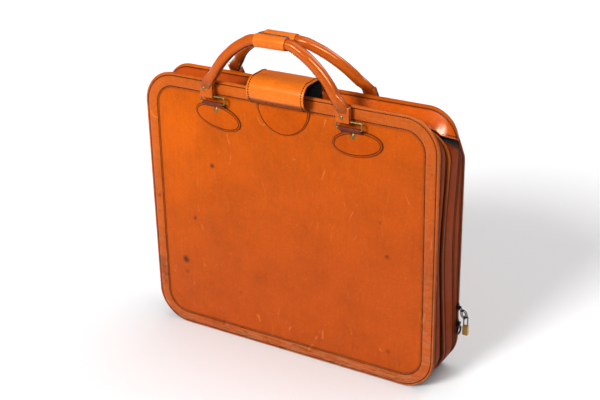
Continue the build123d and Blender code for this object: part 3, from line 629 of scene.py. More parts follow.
border_profile, border_seam = border_parts()
low_edge = np.clip((330.0 - front_shape[0][:, 1]) / 160.0, 0, 1)
border_rows = [np.maximum(value, 0.75 * low_edge) if 0 < k < 6 else value for k, value in enumerate(border_seam)]
border = surface("front border skin", [front_ring(i, y) for i, y in border_profile], seam_and_shade=border_rows)
dress(border, "case", "tan_leather", TAN_BORDER, "front_border")

field_insets = [21.4, 22.2, 22.9, 23.8, 25.5, 28.0, 31.0, 36.0]
loops = [front_ring(i, field_depth) for i in field_insets]
loops += fill(loops[-1], field_depth, steps=44)
seam_and_shade = [1.0, 0.95, 0.45, 0.12, 0.03] + [0.0] * (len(loops) - 5)
panel = surface("front field", loops, seam_and_shade=seam_and_shade)
dress(panel, "case", "tan_leather", TAN, "front_panel")
stitches("front border stitches", [closed_path(front_ring(i, -47.35)) for i in (OUTER_STITCH, INNER_STITCH)],
         [(0, -1, 0)] * 2, "case", THREAD)


# Half-moon landing with its double pressed line
MOON_RADIUS = 48.0
MOON_ARC = 80


def half_moon(inset, depth, top=434.2):
    """Loop round the half-moon, inset from its edge."""
    reach = MOON_RADIUS - inset
    straight = top - inset * 0.6
    points = [(reach * math.cos(a), depth, straight - reach * math.sin(a)) for a in np.linspace(0, math.pi, MOON_ARC)]
    points += [(x, depth, straight) for x in np.linspace(-reach, reach, 30)[1:-1]]
    return np.array(points)


moon_profile = [(0.0, -46.0), (0.05, -47.4), (0.5, -47.85), (1.0, -48.0), (1.7, -48.05), (3.1, -48.0), (3.9, -47.6),
                (4.7, -48.0), (6.0, -48.05), (12.0, -48.1), (20.0, -48.15), (30.0, -48.2), (40.0, -48.2), (47.5, -48.2)]
# The outer edge is darkened as a painted shadow line along its step; the pressed line is dark too
moon_seam_and_shade = [1.0, 1.0, 1.0, 1.0, 0.3, 0.25, 0.95, 0.25, 0.0, 0.0, 0.0, 0.0, 0.0, 0.0]
landing = surface("half-moon landing", [half_moon(i, y) for i, y in moon_profile], seam_and_shade=moon_seam_and_shade, flip=True)
dress(landing, "case", "tan_leather", TAN_PATCH, "flap_landing")
stitches("half-moon stitches", [half_moon(3.9, -47.75)[:MOON_ARC]], [(0, -1, 0)], "case", THREAD, pitch=3.2, length=2.3,
         width=0.75)


# Oval patches: domed leather with a row of stitches
def front_frame(x, z, turn, depth=FIELD):
    """Place on the front: local X across, local Y up, local Z outward."""
    c, s = math.cos(math.radians(turn)), math.sin(math.radians(turn))
    return np.array([[c, -s, 0, x], [0, 0, -1, depth], [s, c, 0, z], [0, 0, 0, 1]])


# Slope of the lid's shoulder, its top in (y, z), and how far below it the rear patches' middles lie
SHOULDER = np.array([28.0, 43.0]) / math.hypot(28.0, 43.0)
SHOULDER_TOP = (19.5, 410.0)
PATCH_DROP = 25.0


def rear_frame(x, turn, rise=0.0, out=0.0):
    """Place on the lid's sloping shoulder, where the rear patches lie."""
    c, s = math.cos(math.radians(turn)), math.sin(math.radians(turn))
    down = np.array([0.0, SHOULDER[0], -SHOULDER[1]])
    normal = np.array([0.0, SHOULDER[1], SHOULDER[0]])
    origin = np.array([x, *SHOULDER_TOP]) + down * (PATCH_DROP - rise) + normal * (out - 1.0)
    across, up = np.array([-1.0, 0.0, 0.0]), -down
    place = np.eye(4)
    place[:3, 0] = across * c + up * s
    place[:3, 1] = up * c - across * s
    place[:3, 2] = normal
    place[:3, 3] = origin
    return place


def oval(inset, height, count=72):
    edge = min(inset, 5.0)
    shrink = 1.0 - max(0.0, inset - 5.0) / (PATCH_HALF[1] - 5.0)
    a, b = (PATCH_HALF[0] - edge) * shrink, (PATCH_HALF[1] - edge) * shrink
    angles = np.linspace(0, 2 * math.pi, count, endpoint=False)
    return np.stack([a * np.cos(angles), b * np.sin(angles), np.full(count, height)], axis=1)


patch_profile = [(0.2, -0.2), (0.0, 0.6), (0.0, 1.5), (0.4, 2.05), (1.0, 2.3), (1.8, 2.4), (3.2, 2.35), (3.9, 1.95),
                 (4.6, 2.35), (4.9, 2.4), (6.0, 2.45), (9.0, 2.6), (13.0, 2.72), (17.0, 2.78), (20.95, 2.8)]
patch_seam = [1.0, 1.0, 1.0, 1.0, 0.9, 0.2, 0.3, 0.95, 0.3, 0.0, 0.0, 0.0, 0.0, 0.0, 0.0]
for side in ("front", "rear"):
    for name, (x, turn) in PATCHES.items():
        place = front_frame(x, PATCH_Z, turn) if side == "front" else rear_frame(x, -turn)
        patch = surface(f"{side} patch {name}", [on(place, oval(i, h)) for i, h in patch_profile], seam_and_shade=patch_seam,
                        flip=side == "rear")
        dress(patch, HOLDER[side], "tan_leather", TAN_PATCH, f"{side}_patch_{name}")
        stitches(f"{side} patch {name} stitches", [on(place, closed_path(oval(3.9, 2.15)))], [place[:3, 2]],
                 HOLDER[side], THREAD, pitch=3.1, length=2.3, width=0.75)


# Chapes: straps folded round the rings' lower bars
def chape_path(side):
    y, z = BARS[side]
    r = 2.35
    if side == "front":
        wall, sign = -47.0, 1.0
        start = [(wall, z - 13.0), (wall, z - 9.5), (wall - 1.5, z - 6.5), (wall - 4.6, z - 3.5)]
        back = [(wall - 4.4, z - 6.6), (wall - 2.6, z - 8.2), (wall - 1.2, z - 9.6), (wall - 1.0, z - 13.0)]
    else:
        down = np.array([SHOULDER[0], -SHOULDER[1]])
        out = np.array([SHOULDER[1], SHOULDER[0]])
        foot = np.array(SHOULDER_TOP) + down * PATCH_DROP - out * 0.6
        sign = -1.0
        start = [tuple(foot - down * 6), tuple(foot - down * 16), (20.2, 416.5), (21.6, 425.0)]
        back = [(25.6, 424.6), (22.6, 417.0), tuple(foot - down * 16 + out * 1.6), tuple(foot - down * 6 + out * 1.6)]
    arc = [(y + sign * r * math.cos(a), z + r * math.sin(a)) for a in np.linspace(0.0, 1.5 * math.pi, 16)]
    return resample(np.array(start + arc + back), 1.0)


CHAPE_HALF = 18.6
for side in ("front", "rear"):
    for name, x in RINGS.items():
        chape = ribbon(f"{side} chape {name}", chape_path(side), x - CHAPE_HALF, x + CHAPE_HALF, 1.2, columns=5)
        dress(chape, HOLDER[side], "brown_leather", CHAPE, f"{side}_chape_{name}")

STUD_RISE = 12.0
STUD_OUT = 2.4
stud = lathe([(4.5, -0.6), (4.5, 0.2), (4.2, 0.5), (3.9, 0.55), (3.7, 0.9), (3.2, 1.5), (2.4, 1.95), (1.3, 2.2),
              (0.01, 2.3)])
for side in ("front", "rear"):
    places = [front_frame(x, PATCH_Z + STUD_RISE, 0, FIELD - STUD_OUT) if side == "front"
              else rear_frame(x, 0, STUD_RISE, STUD_OUT) for x in CHAPES.values()]
    dress(placed(f"{side} domed studs", stud, places), HOLDER[side], "antique_brass", BRASS, f"{side}_studs")

# Wire rings
RING_HALF = 21.5
ring_line = [(0, 0), (RING_HALF, 0), (RING_HALF, BAR_SPACING), (-RING_HALF, BAR_SPACING), (-RING_HALF, 0), (0, 0)]
ring_line = resample(rounded_chain(ring_line, 3.0, 6), 0.9)
for side in ("front", "rear"):
    y, z = BARS[side]
    for name, x in RINGS.items():
        path = np.stack([x + ring_line[:, 0], np.full(len(ring_line), y), z + ring_line[:, 1]], axis=1)
        dress(wire(f"{side} ring {name}", path, 1.5), f"{side}_rings", "antique_brass", BRASS, f"{side}_ring_{name}")

# Pocket gusset, pinched in towards the divider
gusset_shares = [0.0, 0.05, 0.12, 0.22, 0.34, 0.46, 0.58, 0.68, 0.76, 0.82, 0.87, 0.92, 0.96, 1.0]


def gusset_loop(share):
    """Line round the pocket's side wall at a share of the way from the front to the divider."""
    points, normals = front_shape
    height = points[:, 1]
    scale = 1.0 - (FRONT_HEIGHT - DIVIDER_HEIGHT) / FRONT_HEIGHT * share * np.clip((height - 300) / 156, 0, 1)
    puff = 1.1 * math.sin(math.pi * min(1.0, share / 0.8))
    fold = 2.2 + 1.8 * share + (PINCH - 1.8) * smooth((share - 0.72) / 0.26) - puff
    flat = points - normals * fold
    z = flat[:, 1] * scale
    end = divider_y(z) + 1.0
    y = PANEL_BACK + (end - PANEL_BACK) * share
    sway = 0.5 * np.sin(height / 31.0) * math.sin(math.pi * share)
    return np.stack([flat[:, 0] - normals[:, 0] * sway, y, z], axis=1)


over_mouth = (front_shape[0][:, 1] > FRONT_HEIGHT - 1.0) & (np.abs(front_shape[0][:, 0]) < MOUTH)
# The gusset darkens beside the front border and into its fold at the divider: painted shade
gusset = surface("pocket gusset", [gusset_loop(s)[outside(over_mouth)] for s in gusset_shares], closed=False, flip=True,
                 seam_and_shade=[1.0, 0.95, 0.85, 0.5, 0.15, 0.0, 0.0, 0.0, 0.1, 0.35, 0.6, 0.85, 1.0, 1.0])
thicken(gusset, 2.0)
dress(gusset, "case", "brown_leather", BROWN, "pocket_gusset")

# Divider wall and its rolled, stitched rim
divider_shape = outline(DIVIDER_HEIGHT, TOP_RADIUS)


def at_divider(shift):
    return lambda x, z: divider_y(z) + shift


rim_profile = [(7.0, 0.2), (6.0, 0.0), (4.6, -0.05), (4.0, 0.3), (3.4, -0.05), (2.2, -0.1), (1.0, 0.2), (0.3, 0.9),
               (0.0, 2.0), (0.3, 3.1), (1.0, 3.8), (2.2, 4.1), (4.0, 4.1), (7.0, 3.9)]
# The rim darkens at both ends of its profile, where it turns into the compartments, as painted shade; its stitch groove
# is dark too
rim_seam_and_shade = [0.8, 0.4, 0.15, 0.7, 0.1, 0.0, 0.0, 0.0, 0.0, 0.05, 0.1, 0.3, 0.7, 1.0]
rim = surface("divider rim", [ring(divider_shape, i, at_divider(s)) for i, s in rim_profile], seam_and_shade=rim_seam_and_shade)
dress(rim, "case", "tan_leather", RIM, "divider_rim")
rim_line = closed_path(ring(divider_shape, 4.0, at_divider(0.1)))
stitches("divider rim stitches", [rim_line], [(0, -1, 0)], "case", THREAD)


def wall(name, shape, inset, depth, body, flip=False, node=None):
    """Filled panel from an outline's inset inward: a lining cloth, or the dark board behind it."""
    loops = [ring(shape, inset, depth)]
    loops += fill(loops[0], depth)
    slot, material = ("lining_cloth", LINING) if name.endswith("cloth") else ("tan_leather", DARK)
    return dress(surface(name, loops, flip=flip), body, slot, material, *([node] if node else []))


def soft(base, size):
    """Depth of a cloth that lies a little slack on a wall."""
    return lambda x, z: depth_at(base, x, z) + size * (np.sin(x / 37 + z / 53) + 0.6 * np.sin(x / 17 - z / 29 + 1.0))


wall("divider wall", divider_shape, 6.8, at_divider(1.6), "case", node="divider")
wall("divider wall back", divider_shape, 6.8, at_divider(2.6), "case", flip=True)
wall("pocket lining cloth", divider_shape, 6.9, soft(at_divider(0.7), 0.15), "case", node="pocket_lining")
wall("main lining cloth", divider_shape, 6.9, soft(at_divider(3.4), 0.15), "case", flip=True, node="main_lining")
wall("front lining cloth", front_shape, 4.4, soft(-42.85, 0.12), "case", flip=True, node="front_lining")
wall("front board back", front_shape, 3.0, PANEL_BACK + 0.2, "case", flip=True)


# Gusset bands round the main compartment, from the divider's rim to the zip
BAND_TOP = 409.0
BAND = outside(divider_shape[0][:, 1] >= BAND_TOP)


def zip_guard(z):
    """The bands reach over the tape up to the zip's teeth on the straight part of the zip."""
    return zip_y(z) + ZIP_GUARD * np.clip((378.0 - z) / 20.0, 0, 1)


def band_loop(share, low, high, puff, inset=BAND_INSET):
    points, normals = divider_shape[0][BAND], divider_shape[1][BAND]
    z = points[:, 1]
    end = zip_guard(z)
    a = np.minimum(low(z), end)
    b = np.minimum(high(z), end)
    y = a + (b - a) * share
    width = np.clip((b - a) / 12.0, 0, 1)
    depth = inset - puff * math.sin(math.pi * share) ** 0.8 * width
    flat = points - normals * depth[:, None]
    return np.stack([flat[:, 0], y, flat[:, 1]], axis=1)


shares = np.array([0.0, 0.02, 0.05, 0.1, 0.18, 0.3, 0.42, 0.55, 0.68, 0.8, 0.9, 0.96, 0.99, 1.0])
edge_dark = 0.3 * np.exp(-shares / 0.02) + 0.95 * np.exp(-(1 - shares) / 0.04)
for name, low, high, puff in (("middle", lambda z: divider_y(z) + 3.4, seam_y, 1.6),
                              ("rear", seam_y, zip_guard, 0.9)):
    band = surface(f"gusset {name} band", [band_loop(s, low, high, puff) for s in shares], closed=False, flip=True,
                   seam_and_shade=edge_dark)
    thicken(band, 2.0)
    dress(band, "case", "brown_leather", BROWN, f"gusset_{name}_band")


def band_line(depth, inset):
    points, normals = divider_shape[0][BAND], divider_shape[1][BAND]
    flat = points - normals * inset
    y = depth(points[:, 1])
    first, last = extent(y < zip_y(points[:, 1]) - 1.0)
    line = np.stack([flat[:, 0], y, flat[:, 1]], axis=1)[first:last + 1]
    return line, np.stack([normals[:, 0], 0 * y, normals[:, 1]], axis=1)[first:last + 1]


band_paths = [band_line(lambda z: divider_y(z) + 8.0, 0.55), band_line(lambda z: seam_y(z) - 3.2, 0.75),
              band_line(lambda z: seam_y(z) + 3.0, 0.95),
              band_line(lambda z: np.full(np.shape(z), ZIP_EDGE - 3.0), 0.9)]
stitches("gusset stitches", [p for p, _ in band_paths], [u for _, u in band_paths], "case", THREAD)

# Lid: back panel, border, lining and the glossy strip over its top
lid_shape = outline(LID_HEIGHT, TOP_RADIUS)


def at_lid(depth):
    return lambda x, z: lid_y(z) - depth


lid_profile = [(3.6, 6.2), (1.2, 6.5), (0.35, 6.0), (0.1, 4.2), (0.0, 1.9), (0.3, 0.9), (1.2, 0.3), (3.0, 0.1),
               (4.8, 0.15), (5.5, 0.6), (6.2, 0.15), (9.0, -0.35), (13.0, -0.55), (16.5, -0.3), (18.4, 0.15),
               (19.0, 0.6), (19.6, 0.15), (20.6, 0.2), (21.1, 0.6), (21.2, 1.3)]
lid_seam = [0.95, 0.9, 0.8, 0.75, 0.7, 0.35, 0.1, 0.0, 0.3, 0.8, 0.3, 0.0, 0.0, 0.0, 0.3, 0.8, 0.3, 0.2, 0.6, 0.95]


def over_top(z):
    """From 0 below the lid's shoulder to 1 above it."""
    return np.clip((z - 362.0) / 30.0, 0, 1)


def lid_rim(depth):
    """The lid's side reaches forward to the zip below the shoulder, and stays narrow over the top."""
    narrow = 0.72 if depth > 1.0 else 0.0
    return lambda x, z: lid_y(z) - depth * (1.0 - narrow * over_top(z))


pale_top = 1.0 - 0.9 * over_top(lid_shape[0][:, 1])
lid_rows = [value * pale_top if k < 7 else value for k, value in enumerate(lid_seam)]
back_border = surface("back border skin", [ring(lid_shape, i, lid_rim(d)) for i, d in lid_profile], flip=True,
                      seam_and_shade=lid_rows)
dress(back_border, "lid", "tan_leather", TAN_PATCH, "back_border")


def back_field(x, z):
    edge = np.clip(np.minimum(240 - np.abs(x), np.minimum(z - BORDER, LID_HEIGHT - BORDER - z)) / 40, 0, 1)
    waves = 0.3 * np.sin(x / 57 + 0.3) * np.sin(z / 43 + 0.4)
    return lid_y(z) - 1.0 + (0.35 + waves) * edge


loops = [ring(lid_shape, i, back_field) for i in (20.0, 21.5, 23.0, 26.0, 32.0)]
loops += fill(loops[-1], back_field, steps=44)
dress(surface("back field", loops, flip=True, seam_and_shade=[1.0, 0.8, 0.4, 0.1] + [0.0] * (len(loops) - 4)),
      "lid", "tan_leather", TAN, "back_panel")
wall("lid board", lid_shape, 4.4, at_lid(3.2), "lid")
wall("lid lining cloth", lid_shape, 4.4, soft(at_lid(4.0), 0.15), "lid", node="lid_lining")
lid_lines = [closed_path(ring(lid_shape, i, at_lid(0.45))) for i in (5.5, 19.0)]
stitches("back border stitches", lid_lines, [(0, 1, 0)] * 2, "lid", THREAD)


# The strip leaves the divider's rim, climbs to the lid and ends in a stitched hem at both sides
first, last = extent(lid_shape[0][:, 1] > LID_HEIGHT - TOP_RADIUS - 1.0)
STRIP = np.arange(first, last + 1)
STRIP_START = -6.5


def hem_z(y):
    (y0, z0), (y1, z1) = HEM_LINE
    return z0 + (z1 - z0) * (y - y0) / (y1 - y0)


def strip_loop(y, inset, foot=0.0):
    """Line over the lid's top at a depth, from the left hem to the right hem."""
    points, normals = lid_shape[0][STRIP], lid_shape[1][STRIP]
    drop = LID_TOP_Y - y
    flat = points - normals * inset
    z = flat[:, 1] - drop
    low = hem_z(y) + foot
    loop = np.stack([flat[:, 0], np.full(len(z), float(y)), z], axis=1)
    for order in (range(len(loop)), range(len(loop) - 1, -1, -1)):
        order = list(order)
        inside = [i for i in order if loop[i, 2] >= low]
        cut = inside[0]
        if cut == order[0]:
            edge = loop[cut].copy()
        else:
            before = order[order.index(cut) - 1]
            share = (low - loop[before, 2]) / (loop[cut, 2] - loop[before, 2])
            edge = loop[before] + (loop[cut] - loop[before]) * share
        for i in order[:order.index(cut)]:
            loop[i] = edge
    return resample_fixed(loop, len(loop))


strip_profile = [(0.0, 2.2), (0.0, 0.9), (0.02, 0.3), (0.05, 0.0), (0.12, -0.3), (0.25, -0.75), (0.4, -1.0),
                 (0.55, -1.0), (0.68, -0.7), (0.76, -0.35), (0.8, 0.0), (0.84, -0.3), (0.88, -0.6), (0.94, -0.6),
                 (0.98, -0.3), (1.0, 0.4), (1.0, 1.6)]
strip_seam = [0.9, 0.6, 0.3, 0.0, 0.0, 0.0, 0.0, 0.0, 0.0, 0.35, 0.95, 0.5, 0.1, 0.1, 0.3, 0.6, 0.9]
strip = surface("top strip", [strip_loop(STRIP_START + (LID_TOP_Y - STRIP_START) * s, i) for s, i in strip_profile],
                closed=False, flip=True, seam_and_shade=strip_seam)
thicken(strip, 1.6)
dress(strip, "lid", "tan_leather", TAN_STRIP, "top_strip")
strip_y = STRIP_START + (LID_TOP_Y - STRIP_START) * 0.8
strip_line = strip_loop(strip_y, -0.05)
centre = np.array([0.0, strip_y, 380.0])
stitches("top strip stitches", [strip_line], [unit(strip_line - centre) * [1, 0, 1] + [0, -0.4, 0.3]], "lid", THREAD)
hem_line = np.array([strip_loop(y, -0.9, foot=3.6)[-1] for y in np.linspace(-4.5, 12.0, 12)])
hem_line = hem_line if hem_line[0, 0] > 0 else hem_line * [-1, 1, 1]
stitches("top strip hem stitches", [hem_line, hem_line * [-1, 1, 1]], [(0.9, -0.2, 0.3), (-0.9, -0.2, 0.3)],
         "lid", THREAD)

binding_profile = [(0.86, 0.3), (0.865, -0.6), (0.89, -0.95), (0.93, -1.05), (0.98, -0.8), (1.0, 0.0), (0.97, 1.4)]
loops = [strip_loop(STRIP_START + (LID_TOP_Y - 1.2 - STRIP_START) * s, i, foot=-1.5) for s, i in binding_profile]
binding = surface("top binding", loops, closed=False, flip=True, seam_and_shade=[0.6, 0.2, 0.0, 0.0, 0.0, 0.0, 0.4])
dress(binding, "lid", "brown_leather", TAN_PATCH, "top_binding")


# Zip: two tapes and two rows of teeth along the gusset's edge
def zip_path(shift, inset):
    """Right half of the zip's line, from the bottom corner to the divider's rim."""
    points, normals = divider_shape[0], divider_shape[1]
    half = [i for i in range(len(points) // 2) if points[i, 0] > ZIP_START and points[i, 1] < ZIP_TOP]
    flat = points[half] - normals[half] * inset
    z = flat[:, 1]
    y = zip_y(z - shift * 0.5) + shift
    return np.stack([flat[:, 0], y, z], axis=1), np.stack([normals[half, 0], 0 * y, normals[half, 1]], axis=1)


def two_sides(path):
    return [path, path * np.array([-1.0, 1.0, 1.0])]


TAPE_INSET, TEETH_INSET = 2.4, 2.7
TOOTH_PITCH = 2.2
for body, low, high in (("case", -1.5, 2.9), ("lid", 4.1, 7.4)):
    rows = [two_sides(zip_path(low + (high - low) * s, TAPE_INSET)[0]) for s in (0.0, 0.33, 0.66, 1.0)]
    for k, side in enumerate(("right", "left")):
        tape = surface(f"zip tape {body} {side}", [row[k] for row in rows], closed=False, flip=side == "right")
        thicken(tape, 0.8, 0.0)
        dress(tape, body, "zip_tape", TAPE, *([f"zip_tape_{body}"] if side == "right" else []))

for body, shift, phase in (("case", 3.05, 0.0), ("lid", 3.95, 1.1)):
    centres, along, ups = [], [], []
    for path, normal in zip(*(two_sides(half) for half in zip_path(shift, TEETH_INSET))):
        both = resample(np.concatenate([path, normal], axis=1)[int(phase > 0):], TOOTH_PITCH)
        tangent = unit(np.gradient(both[:, :3], axis=0))
        centres.append(both[:, :3] + tangent * phase)
        ups.append(both[:, 3:])
        along.append(np.cross(both[:, 3:], tangent))
    teeth = scatter(f"zip teeth {body}", np.concatenate(centres), np.concatenate(along), np.concatenate(ups),
                    (1.5, 0.55, 0.6))
    dress(teeth, body, "zip_tape", BLACK)


# Handles: a rolled tube that flattens and folds round the rings
def handle_frame(side):
    shift, lean, _ = HANDLES[side]
    y, z = BARS[side]
    c, s = math.cos(math.radians(lean)), math.sin(math.radians(lean))
    place = np.eye(4)
    place[:3, 0] = (1, 0, 0)
    place[:3, 1] = (0, -s, c)
    place[:3, 2] = (0, -c, -s)
    place[:3, 3] = (shift, y - HANDLE_RISE * s, z + BAR_SPACING + HANDLE_RISE * c)
    return place


# Half length of the grip; radius and end angle in degrees of the bend beside it and of the arch after that
GRIP_HALF = 27.0
BEND_RADIUS, BEND_END = 30.0, 26.0
ARCH_RADIUS, ARCH_END = 150.0, 60.0


def handle_centre():
    """Right half of the handle's middle line in its own plane: x, y, share of flattening."""
    out = [(x, 0.0, 0.0) for x in np.linspace(0, GRIP_HALF, 8)]
    for a in np.linspace(0, BEND_END, 9)[1:]:
        a = math.radians(a)
        out.append((GRIP_HALF + BEND_RADIUS * math.sin(a), -BEND_RADIUS * (1 - math.cos(a)), 0.0))
    x0, y0 = out[-1][:2]
    start = math.radians(BEND_END)
    for a in np.linspace(BEND_END, ARCH_END, 22)[1:]:
        a = math.radians(a)
        out.append((x0 + ARCH_RADIUS * (math.sin(a) - math.sin(start)),
                    y0 - ARCH_RADIUS * (math.cos(start) - math.cos(a)), 0.0))
    p0, p1 = np.array(out[-1][:2]), np.array([HANDLE_SPAN / 2, -90.5])
    d0, d1 = np.array([0.5, -0.866]) * 34, np.array([0.0, -1.0]) * 34
    for t in np.linspace(0, 1, 16)[1:]:
        h = (2 * t ** 3 - 3 * t ** 2 + 1, t ** 3 - 2 * t ** 2 + t, -2 * t ** 3 + 3 * t ** 2, t ** 3 - t ** 2)
        p = h[0] * p0 + h[1] * d0 + h[2] * p1 + h[3] * d1
        out.append((p[0], p[1], t))
    return np.array(out)


HANDLE_LINE = handle_centre()
full_line = np.concatenate([HANDLE_LINE[::-1] * [-1, 1, 1], HANDLE_LINE[1:]])


def superellipse(a, b, power, count=40):
    """Section with half-widths a and b, squarer as the power grows."""
    out = []
    for k in range(count):
        angle = 2 * math.pi * k / count
        c, s = math.cos(angle), math.sin(angle)
        out.append((a * math.copysign(abs(c) ** (2 / power), c), b * math.copysign(abs(s) ** (2 / power), s)))
    return np.array(out)


def handle_mesh(side):
    place = handle_frame(side)
    tangent = unit(np.gradient(full_line[:, :2], axis=0))
    normal = np.stack([-tangent[:, 1], tangent[:, 0]], axis=1)
    loops, seam_and_shade = [], []
    for index, ((x, y, flat), n) in enumerate(zip(full_line, normal)):
        ease = smooth(flat)
        swell = 1.0 + 0.012 * math.sin(index * 0.9) + 0.01 * math.sin(index * 0.37 + 1)
        a = (8.5 + 2.9 * ease ** 2) * swell
        b = (8.5 - 4.5 * ease) * swell
        section = superellipse(a, b, 2.0 + 1.6 * ease)
        points = np.stack([x + n[0] * section[:, 0], y + n[1] * section[:, 0], section[:, 1]], axis=1)
        loops.append(on(place, points))
        # Painted shade: the handle darkens towards its flattened ends and on the inner side of its arch
        row = 0.55 * ease ** 2 + 0.45 * np.clip((-section[:, 0] / a - 0.35) / 0.5, 0, 1)
        # Painted shadow on the rear handle's left leg
        if side == "rear":
            row += 0.55 * min(1.0, max(0.0, (-x - 78.0) / 25.0))
        seam_and_shade.append(row)
    made = surface(f"{side} rolled handle", loops, seam_and_shade=seam_and_shade)
    body = f"{side}_handle"
    dress(made, body, "tan_leather", HANDLE_TAN, body)
    for end in (-1, 1):
        x = end * HANDLE_SPAN / 2
        path = [(-80.0, 2.4), (-88.0, 2.6), (-94.0, 2.75), (-HANDLE_RISE, 2.75)]
        path += [(-HANDLE_RISE - 2.75 * math.sin(a), 2.75 * math.cos(a)) for a in np.linspace(0, math.pi, 12)[1:]]
        path += [(-94.0, -2.75), (-88.0, -2.6), (-80.0, -2.4)]
        fold = ribbon(f"{side} handle fold {'left' if end < 0 else 'right'}", resample(path, 1.2), x - 11.4, x + 11.4,
                      2.4, columns=5, place=place)
        dress(fold, body, "tan_leather", HANDLE_TAN)
    keep = full_line[:, 2] < 0.4
    line = on(place, np.column_stack([full_line[keep, :2] - normal[keep] * 7.4, np.full(keep.sum(), 4.6)]))
    up = np.column_stack([-normal[keep], np.full(keep.sum(), 0.6)]) @ place[:3, :3].T
    stitches(f"{side} handle stitches", [line], [up], body, THREAD, pitch=3.4, length=2.4)
    return place


def grip_mesh(side, place):
    """Leather sleeve round the grip with thick cut edges."""
    shift = HANDLES[side][2]
    half = [(8.7, -0.4), (9.6, 0.0), (10.3, -0.4), (10.45, -1.4), (10.5, -8.0)]
    half = [(r, GRIP_HALF + along) for r, along in half]
    profile = [(r, -along) for r, along in half] + [(10.55, 0.0)] + half[::-1]
    loops = []
    for r, along in profile:
        angles = np.linspace(0, 2 * math.pi, 48, endpoint=False)
        loops.append(on(place, np.stack([np.full(48, along + shift), r * np.cos(angles), r * np.sin(angles)], axis=1)))
    made = surface(f"{side} grip sleeve", loops, flip=True, seam_and_shade=[0.9, 0.5, 0.1, 0, 0, 0, 0, 0, 0.1, 0.5, 0.9])
    dress(made, f"{side}_handle", "tan_leather", TAN_STRAP, f"{side}_grip")


def local_place(place, x, y, z, face=1.0):
    out = place.copy()
    out[:3, 3] = on(place, [(x, y, z)])[0]
    if face < 0:
        out[:3, 0] = -out[:3, 0]
        out[:3, 2] = -out[:3, 2]
    return out


def rivet(radius):
    return lathe([(radius, -0.5), (radius, 0.25), (radius * 0.94, 0.5), (radius * 0.8, 0.85), (radius * 0.5, 1.2),
                  (radius * 0.2, 1.38), (0.01, 1.4)], 24)


for side in ("front", "rear"):
    place = handle_mesh(side)
    grip_mesh(side, place)
    large, small = [], []
    face = 1.0 if side == "front" else -1.0
    for end in (-1, 1):
        shift, rise = (-5.0, 11.5) if end < 0 else (-1.5, 5.8)
        large.append(local_place(place, end * HANDLE_SPAN / 2 + shift, rise - HANDLE_RISE, 4.0 * face, face))
        small.append(local_place(place, end * (HANDLE_SPAN / 2 - 8.2), 20.5 - HANDLE_RISE, 4.4))
    dress(placed(f"{side} handle large rivets", rivet(3.4), large), f"{side}_handle", "antique_brass", BRASS,
          f"{side}_handle_rivets")
    dress(placed(f"{side} handle small rivets", rivet(2.2), small), f"{side}_handle", "antique_brass", BRASS)


# Closing flap: an arched leather strap, its black lining and the strap that carries it
FLAP_HALF = 50.0
LIP_RADIUS, FRONT_RADIUS, REAR_RADIUS = 22.5, 21.5, 17.0


def flap_curve(depth):
    """Side line of the flap as (y, z) points, measured inward from its outer face."""
    lip_y, lip_z = -49.5, 434.7
    out = []
    r = LIP_RADIUS - depth
    for a in np.linspace(0, 90, 14):
        a = math.radians(a)
        out.append((lip_y - r * math.sin(a), lip_z + LIP_RADIUS - r * math.cos(a)))
    r = FRONT_RADIUS - depth
    for a in np.linspace(0, 90, 14)[1:]:
        a = math.radians(a)
        out.append((-50.5 - r * math.cos(a), 457.2 + r * math.sin(a)))
    r = REAR_RADIUS - depth
    for a in np.linspace(0, 90, 12):
        a = math.radians(a)
        out.append((-26.5 + r * math.sin(a), 461.7 + r * math.cos(a)))
    out.append((-9.5 - depth, 455.2))
    return resample(np.array(out), 2.0)


def flap_lift(x, share):
    """The flap's ends lift a little and its middle sags."""
    return 0.5 * (x / FLAP_HALF) ** 2 * math.sin(math.pi * share) - 0.25


# The flap's lower curve, from the lip up, is darkened as painted shade
flap = ribbon("flap leather", flap_curve(1.2), -FLAP_HALF, FLAP_HALF, 2.3, columns=30,
              lift=lambda x, s: -flap_lift(x, s),
              seam_and_shade=lambda s: float(np.interp(s, [0.0, 0.18, 0.20], [0.95, 0.9, 0.0])))
dress(flap, "flap", "tan_leather", TAN_STRAP, "flap_leather")
flap_cloth = ribbon("flap lining", flap_curve(2.8), -48.6, 48.6, 0.7, columns=30, lift=lambda x, s: -flap_lift(x, s))
dress(flap_cloth, "flap", "lining_cloth", LINING, "flap_lining")
outer_line = flap_curve(-0.05)
for name, x in (("left", -46.0), ("right", 46.0)):
    line = np.stack([np.full(len(outer_line), x), outer_line[:, 0], outer_line[:, 1]], axis=1)
    away = unit(line - np.array([x, -36.0, 452.0]))
    stitches(f"flap stitches {name}", [line], [away], "flap", THREAD)
strap_line = resample([(-11.2, 405.5), (-11.1, 430.0), (-11.1, 452.8)], 2.0)
strap = ribbon("flap strap", strap_line, -FLAP_HALF, FLAP_HALF, 3.0, columns=10)
dress(strap, "case", "tan_leather", TAN_STRAP, "flap_strap")
# A black cloth sheet over the flap strap's front face: painted shade under the flap
shade_sheet_line = resample([(-12.9, 406.0), (-12.8, 430.0), (-12.9, 457.5)], 2.0)
strap_shade_sheet = ribbon("flap strap shade sheet", shade_sheet_line, -49.0, 49.0, 0.4, columns=10)
dress(strap_shade_sheet, "case", "lining_cloth", LINING)

